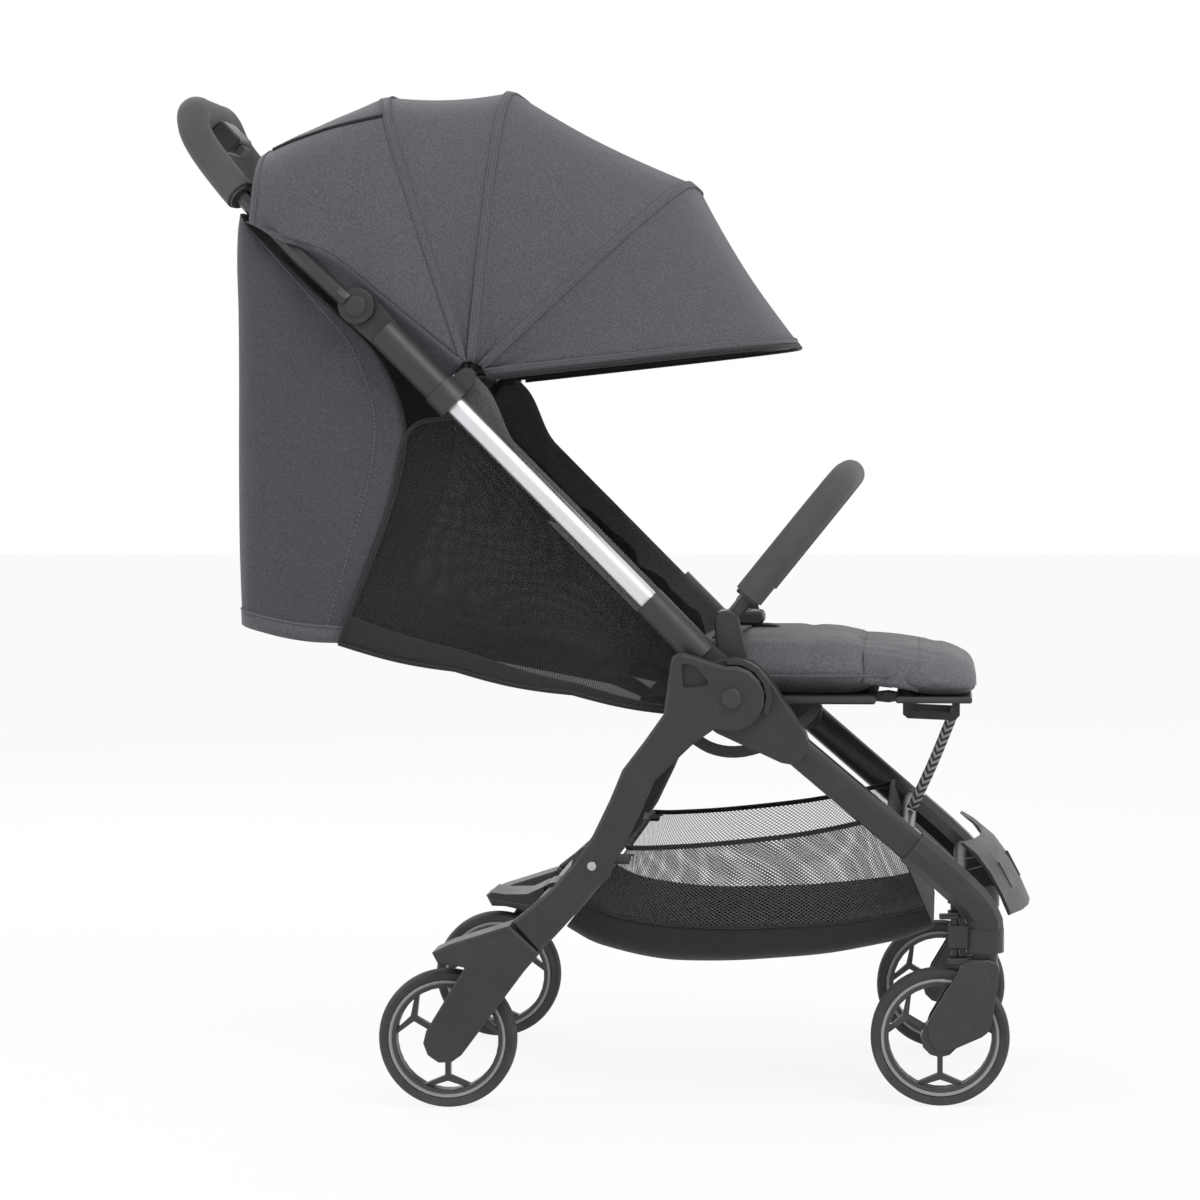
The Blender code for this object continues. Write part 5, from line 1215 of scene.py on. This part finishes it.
def seat_bridge():
    """Cloth that carries the seat's cover across to the leg rest's cushion."""
    tops = []
    for name in ("seat_cushion", "leg_cushion"):
        edit = bmesh.new()
        edit.from_mesh(bpy.data.objects[name].data)
        tops.append(BVHTree.FromBMesh(edit))
        edit.free()

    def widest(tree, y):
        hit = tree.ray_cast(Vector((0.4, y, 0.440)), Vector((-1, 0, 0)))[0]
        return hit.x if hit else 0.150

    def top(tree, x, y):
        hit = tree.ray_cast(Vector((x, y, 0.60)), Vector((0, 0, -1)))[0]
        return hit.z if hit else 0.455

    rear, front = -0.272, -0.328
    half = [widest(tree, y) for tree, y in ((tops[0], rear), (tops[1], front))]
    round_off = 0.014
    flat = min(half) - round_off
    turn = round_off * math.pi / 2

    def place(u, v):
        run = (2 * u - 1) * (flat + turn + 0.018)
        sign = 1 if run > 0 else -1
        past = abs(run) - flat
        side = half[0] + (half[1] - half[0]) * v + 0.0006
        if past <= 0:
            x, drop = abs(run), 0.0
        elif past < turn:
            angle = past / round_off
            x = side - round_off * (1 - math.sin(angle))
            drop = round_off * (1 - math.cos(angle))
        else:
            x, drop = side, round_off + past - turn
        inner = min(x, flat)
        a, b = top(tops[0], sign * inner, rear), top(tops[1], sign * inner, front)
        y = rear + (front - rear) * v
        lift = 0.0004 + 0.0012 * bulge(v)
        return Vector((sign * x, y, a + (b - a) * v + lift - drop))

    item = sheet("seat_bridge", 72, 16, place, SEAT_CLOTH, (0, -0.3, 0.3), 0.0008)
    edge = min(half) - 0.004
    path = [(edge * (k / 10 - 1), -0.3000, 0.4335) for k in range(21)]
    fold = tube("seat_fold", path, 0.0125, SEAT_CLOTH, 16)
    for cloth_piece in (item, fold):
        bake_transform(cloth_piece)


def side_nets():
    """Both side nets, bound below and behind, with a plain band along the seat."""
    for side, sign in SIDES:
        place = side_net(sign)
        item = sheet(f"seat_net_{side}", 70, 56, place, SIDE_NET, (0, 0.1, 0.55))
        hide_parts(f"side_panel_{side}")
        trim = []
        for edge, path in (
            ("low", [place(k / 60, 0.0) for k in range(61)]),
            ("rear", [place(1.0, k / 40) for k in range(41)]),
        ):
            trim.append(tube(f"net_binding_{edge}_{side}", path, NET_CORD, LINING, 10))

        def band(u, v, place=place, sign=sign):
            return place(u, 0.075 * v) + Vector((sign * 0.0007, 0, 0))

        trim.append(sheet(f"net_band_{side}", 70, 3, band, LINING, (0, 0.1, 0.55), 0.0007))
        for cloth_piece in trim + [item]:
            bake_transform(cloth_piece)


# Cushions
SEAT_SEAM_Y = -0.215
CUSHION_INSET = 0.0022


def reclined(item):
    """Turns a piece laid flat behind the backrest hinge to the backrest's angle."""
    turn = Matrix.Rotation(RECLINE_ANGLE, 4, "X")
    place = Matrix.Translation(RECLINE_PIVOT)
    item.data.transform(place @ turn @ place.inverted())


def cushion_draft(name, low, high, corner, cuts=10):
    """Rounded slab from which a cushion swells."""
    edit = slab(low, high, min(corner, (high.z - low.z) * 0.45), 4)
    long_edges = [e for e in edit.edges if e.calc_length() > 0.03]
    bmesh.ops.subdivide_edges(edit, edges=long_edges, cuts=cuts, use_grid_fill=True)
    return piece(name, edit, SEAT_CLOTH, 80.0)


def cushion_of(node, name):
    """A draft cushion in the shape of its CAD solid, a little smaller."""
    edit = merged(frame["nodes"][node].data)
    bmesh.ops.recalc_face_normals(edit, faces=edit.faces)
    edit.normal_update()
    moves = {vert: vert.normal * CUSHION_INSET for vert in edit.verts}
    for vert, move in moves.items():
        vert.co -= move
    return piece(name, edit, SEAT_CLOTH, 80.0)


def swollen(item, cap, voxel=0.006):
    """Blows the cushion up with the cloth solver, holding each point near its start."""
    modify(item, "REMESH", mode="VOXEL", voxel_size=voxel)
    settled(item)
    rest = [vert.co.copy() for vert in item.data.vertices]
    solver = modify(item, "CLOTH").settings
    solver.use_pressure = True
    solver.uniform_pressure_force = 4.0
    solver.effector_weights.gravity = 0.0
    solver.quality = 5
    solver.mass = 0.3
    scene = bpy.context.scene
    for step in range(1, 21):
        scene.frame_set(step)
    settled(item)
    scene.frame_set(1)
    for vert, home in zip(item.data.vertices, rest):
        move = vert.co - home
        if move.length > cap:
            vert.co = home + move.normalized() * cap


def pressed(item, low, high, seams, reach, depth, width):
    """Keeps a cushion in its space and presses sewn channels across its top."""
    for vert in item.data.vertices:
        point = vert.co
        for axis in range(3):
            point[axis] = min(max(point[axis], low[axis]), high[axis])
        rise = (point.z - low.z) / (high.z - low.z)
        if rise < 0.35 or abs(point.x) > reach:
            continue
        for at in seams:
            near = math.exp(-(((point.y - at) / width) ** 2))
            point.z -= depth * near * min(1.0, (rise - 0.35) * 2)
    item.data.update()


def softened(item):
    """Rounds a cushion with one level of subdivision."""
    modify(item, "SUBSURF", levels=1, render_levels=1)
    settled(item)
    item.data.shade_smooth()
    return item


def piping(name, low, high, z):
    """Sewn cord round a cushion's edge."""
    corner, outside = 0.022, 0.0004
    x0, x1 = low.x - outside, high.x + outside
    y0, y1 = low.y - outside, high.y + outside
    path = []
    for cx, cy, start in (
        (x1 - corner, y1 - corner, 0), (x0 + corner, y1 - corner, 90),
        (x0 + corner, y0 + corner, 180), (x1 - corner, y0 + corner, 270),
    ):
        for k in range(7):
            angle = math.radians(start + 15 * k)
            path.append(Vector((cx + corner * math.cos(angle), cy + corner * math.sin(angle), z)))
    return tube(name, path, PIPING_CORD, TAPE, 10, closed=True)


def fitted_cushion(name, node, seam, depth):
    """Cushion in the space of its CAD solid, with one channel sewn across it."""
    low, high = (Vector(corner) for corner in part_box(node))
    item = cushion_of(node, name)
    swollen(item, 0.004, 0.005)
    pressed(item, low, high, [low.y + (high.y - low.y) * seam], 0.15, depth, 0.006)
    softened(item)
    on_node(item, node)


def seat_and_leg_cushions():
    """The seat's cushion with its piping, and the leg rest's."""
    seat_low, seat_high = (Vector(corner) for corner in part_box("seat_pad"))
    seam = (SEAT_SEAM_Y - seat_low.y) / (seat_high.y - seat_low.y)
    fitted_cushion("seat_cushion", "seat_pad", seam, 0.0022)
    cord = piping("seat_cushion_piping", seat_low, seat_high, seat_low.z + 0.020)
    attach(cord, "front_frame")
    fitted_cushion("leg_cushion", "calf_pad", 0.55, 0.002)


def back_cushion():
    """Backrest cushion, laid flat for its making and then turned to the reclined angle."""
    low = Vector((-0.155, BACKREST_START + 0.016, BACKREST_TOP))
    high = Vector((0.155, BACKREST_START + 0.360, BACKREST_TOP + BACK_PAD_HEIGHT))
    room = Vector((0.003, 0.003, 0.003))
    item = cushion_draft("back_cushion", low + room, high - room, 0.010)
    swollen(item, 0.005)
    seams = [low.y + (high.y - low.y) * k / 3 for k in (1, 2)]
    pressed(item, low, high, seams, 0.14, 0.004, 0.008)
    softened(item)
    reclined(item)
    on_node(item, "backrest_pad")


# Straps


def harness():
    """Shoulder, chest, lap and crotch straps with their pads and slider."""
    base = BACKREST_TOP + BACK_PAD_HEIGHT - 0.0015
    start = BACKREST_START
    parts = []
    for side, sign in SIDES:
        x = sign * SHOULDER_X
        low = Vector((x - 0.0215, start + 0.145, base))
        high = Vector((x + 0.0215, start + 0.245, base + 0.0085))
        pad = softened(cushion_draft(f"shoulder_pad_{side}", low, high, 0.004, 6))
        points = (
            (0.052, 0.0002), (0.10, 0.0016), (0.15, 0.0022), (0.25, 0.0022), (0.272, 0.0004),
        )
        path = [(x, start + reach, base + rise) for reach, rise in points]
        parts += [pad, strap(f"shoulder_strap_{side}", path, STRAP_WIDTH, WEBBING)]
    chest_y = start + 0.128
    points = ((0.060, 0.003), (0.0, 0.0012), (-0.060, 0.003))
    path = [(x, chest_y, base + rise) for x, rise in points]
    chest = strap("chest_strap", path, 0.020, WEBBING, (0, 1, 0))
    low = Vector((-0.012, chest_y - 0.012, base))
    high = Vector((0.012, chest_y + 0.012, base + 0.006))
    parts += [chest, piece("chest_slider", slab(low, high, 0.0015, 3), PLASTIC)]
    for item in parts:
        reclined(item)
        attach(item, "backrest")
    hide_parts("shoulder_straps")
    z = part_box("lap_straps")[0][2]
    y = -0.140
    half = [(0.128, y + 0.010, z - 0.004), (0.100, y + 0.004, z + 0.0022), (0.045, y, z + 0.0026)]
    path = half + [(0.0, y, z + 0.0016)] + [(-a, b, c) for a, b, c in reversed(half)]
    lap = strap("lap_strap", path, STRAP_WIDTH, WEBBING, (0, 1, 0))
    points = ((0.048, -0.003), (0.034, 0.0022), (0.015, 0.0024), (0.0, 0.0020))
    path = [(0, y - reach, z + rise) for reach, rise in points]
    crotch = strap("crotch_strap", path, STRAP_WIDTH, WEBBING)
    for item in (lap, crotch):
        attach(item, "front_frame")
    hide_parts("lap_straps")


def calf_strap():
    """Braided elastic strap from under the leg rest down to the cross bar."""
    low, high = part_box("calf_strap")
    top = Vector((0, low[1] + 0.0008, high[2] - 0.0002))
    bottom = Vector((0, high[1] - 0.0008, low[2] + 0.0002))
    middle = (top + bottom) / 2 + Vector((0, -0.0012, 0))
    path = [top, middle, bottom]
    item = strap("calf_strap_braided", path, 0.011, BRAID, "upright", 24)
    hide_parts("calf_strap")
    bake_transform(item)


def under_straps():
    """Straps that hang in loops under the seat's sides."""
    for side, sign in SIDES:
        x = sign * UNDER_STRAP_X
        path = [
            (x, -0.070, 0.4045), (x, -0.092, 0.376), (x, -0.118, 0.358), (x, -0.150, 0.355),
            (x, -0.190, 0.369), (x, -0.214, 0.388), (x, -0.226, 0.4045),
        ]
        item = strap(f"under_strap_{side}", path, 0.012, WEBBING, "upright")
        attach(item, "front_frame")


# Basket, with rows across it as (floor y, floor z, rim y, rim z) from the rear
BASKET_STATIONS = (
    (0.030, 0.170, -0.034, 0.258), (-0.010, 0.152, -0.060, 0.258), (-0.085, 0.140, -0.120, 0.262),
    (-0.200, 0.144, -0.205, 0.272), (-0.290, 0.158, -0.265, 0.284), (-0.342, 0.174, -0.298, 0.293),
)


def basket_row(station):
    """Places from the basket's left rim under its floor to its right rim."""
    floor_y, floor_z, rim_y, rim_z = station
    top, bottom = 0.168, 0.145
    half = [
        (top, rim_y, rim_z),
        ((top + bottom) / 2 + 0.004, (floor_y + rim_y) / 2, (floor_z + rim_z) / 2),
        (bottom, floor_y, floor_z + 0.006),
        (bottom * 0.6, floor_y, floor_z),
        (0, floor_y, floor_z - 0.002),
    ]
    row = half + [(-x, y, z) for x, y, z in reversed(half[:-1])]
    return [Vector(place) for place in row]


def basket_point(u, v):
    """Place on the basket: u across from the left rim under to the right, v from rear to front."""
    rows = [basket_row(station) for station in BASKET_STATIONS]
    along = [point_on(row, u) for row in rows]
    point = point_on(along, v)
    hold = bulge(v) ** 0.5 * min(1.0, 6 * u, 6 * (1 - u))
    point.z -= 0.004 * drift(point.x * 14.0, point.y * 12.0, 7.0) * hold
    return point


def basket():
    """Net sides over a black cloth floor, with bound rims and hanging tabs."""
    inside = (0, -0.15, 0.27)

    def split(v):
        return 0.165 + 0.035 * v * v

    def left(u, v):
        return basket_point(u * split(v), v)

    def right(u, v):
        return basket_point(1 - u * split(v), v)

    def floor(u, v):
        return basket_point(split(v) + (1 - 2 * split(v)) * u, v)

    def end(station):
        row = basket_row(BASKET_STATIONS[station])

        def place(u, v):
            side = point_on(row, 0.48 * v)
            return Vector((side.x * (1 - 2 * u), side.y, side.z))

        return place

    parts = [
        sheet(name, columns, rows, place, recipe, inside)
        for name, place, recipe, columns, rows in (
            ("basket_net_left", left, BASKET_NET, 16, 60),
            ("basket_net_right", right, BASKET_NET, 16, 60),
            ("basket_floor", floor, LINING, 60, 60),
            ("basket_rear_end", end(0), LINING, 30, 14),
            ("basket_front_end", end(-1), LINING, 30, 14),
        )
    ]
    rim = [basket_point(0.0, k / 50) for k in range(51)]
    trim = [
        tube(name, path, radius, LINING, sides)
        for name, path, radius, sides in (
            ("basket_rim_left", rim, RIM_CORD, 12),
            ("basket_rim_right", [Vector((-p.x, p.y, p.z)) for p in rim], RIM_CORD, 12),
            ("basket_seam_left", [left(1.0, k / 50) for k in range(51)], EDGE_CORD, 10),
            ("basket_seam_right", [right(1.0, k / 50) for k in range(51)], EDGE_CORD, 10),
            ("basket_rim_rear", [end(0)(k / 30, 0.0) for k in range(31)], RIM_CORD, 12),
            ("basket_rim_front", [end(-1)(k / 30, 0.0) for k in range(31)], RIM_CORD, 12),
        )
    ]
    for item in parts + trim:
        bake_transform(item)
    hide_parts("basket")
    basket_tabs()


def basket_tabs():
    """Short straps that hang the basket's rims on the legs."""
    for side, sign in SIDES:
        for end, y, points in (
            ("front", -0.290, ((0.162, 0.286), (0.176, 0.2885), (0.184, 0.2865))),
            ("rear", -0.031, ((0.162, 0.2500), (0.195, 0.2545), (0.221, 0.2490))),
        ):
            path = [(sign * x, y, z) for x, z in points]
            item = strap(f"basket_tab_{end}_{side}", path, 0.018, WEBBING, (0, 1, 0))
            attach(item, f"{end}_frame")


set_camera()
set_stage()
wheels()
tubes()
hardware()
fasteners()
grips()
canopy()
rear_curtain()
side_linings()
side_nets()
seat_and_leg_cushions()
seat_bridge()
back_cushion()
harness()
calf_strap()
under_straps()
basket()
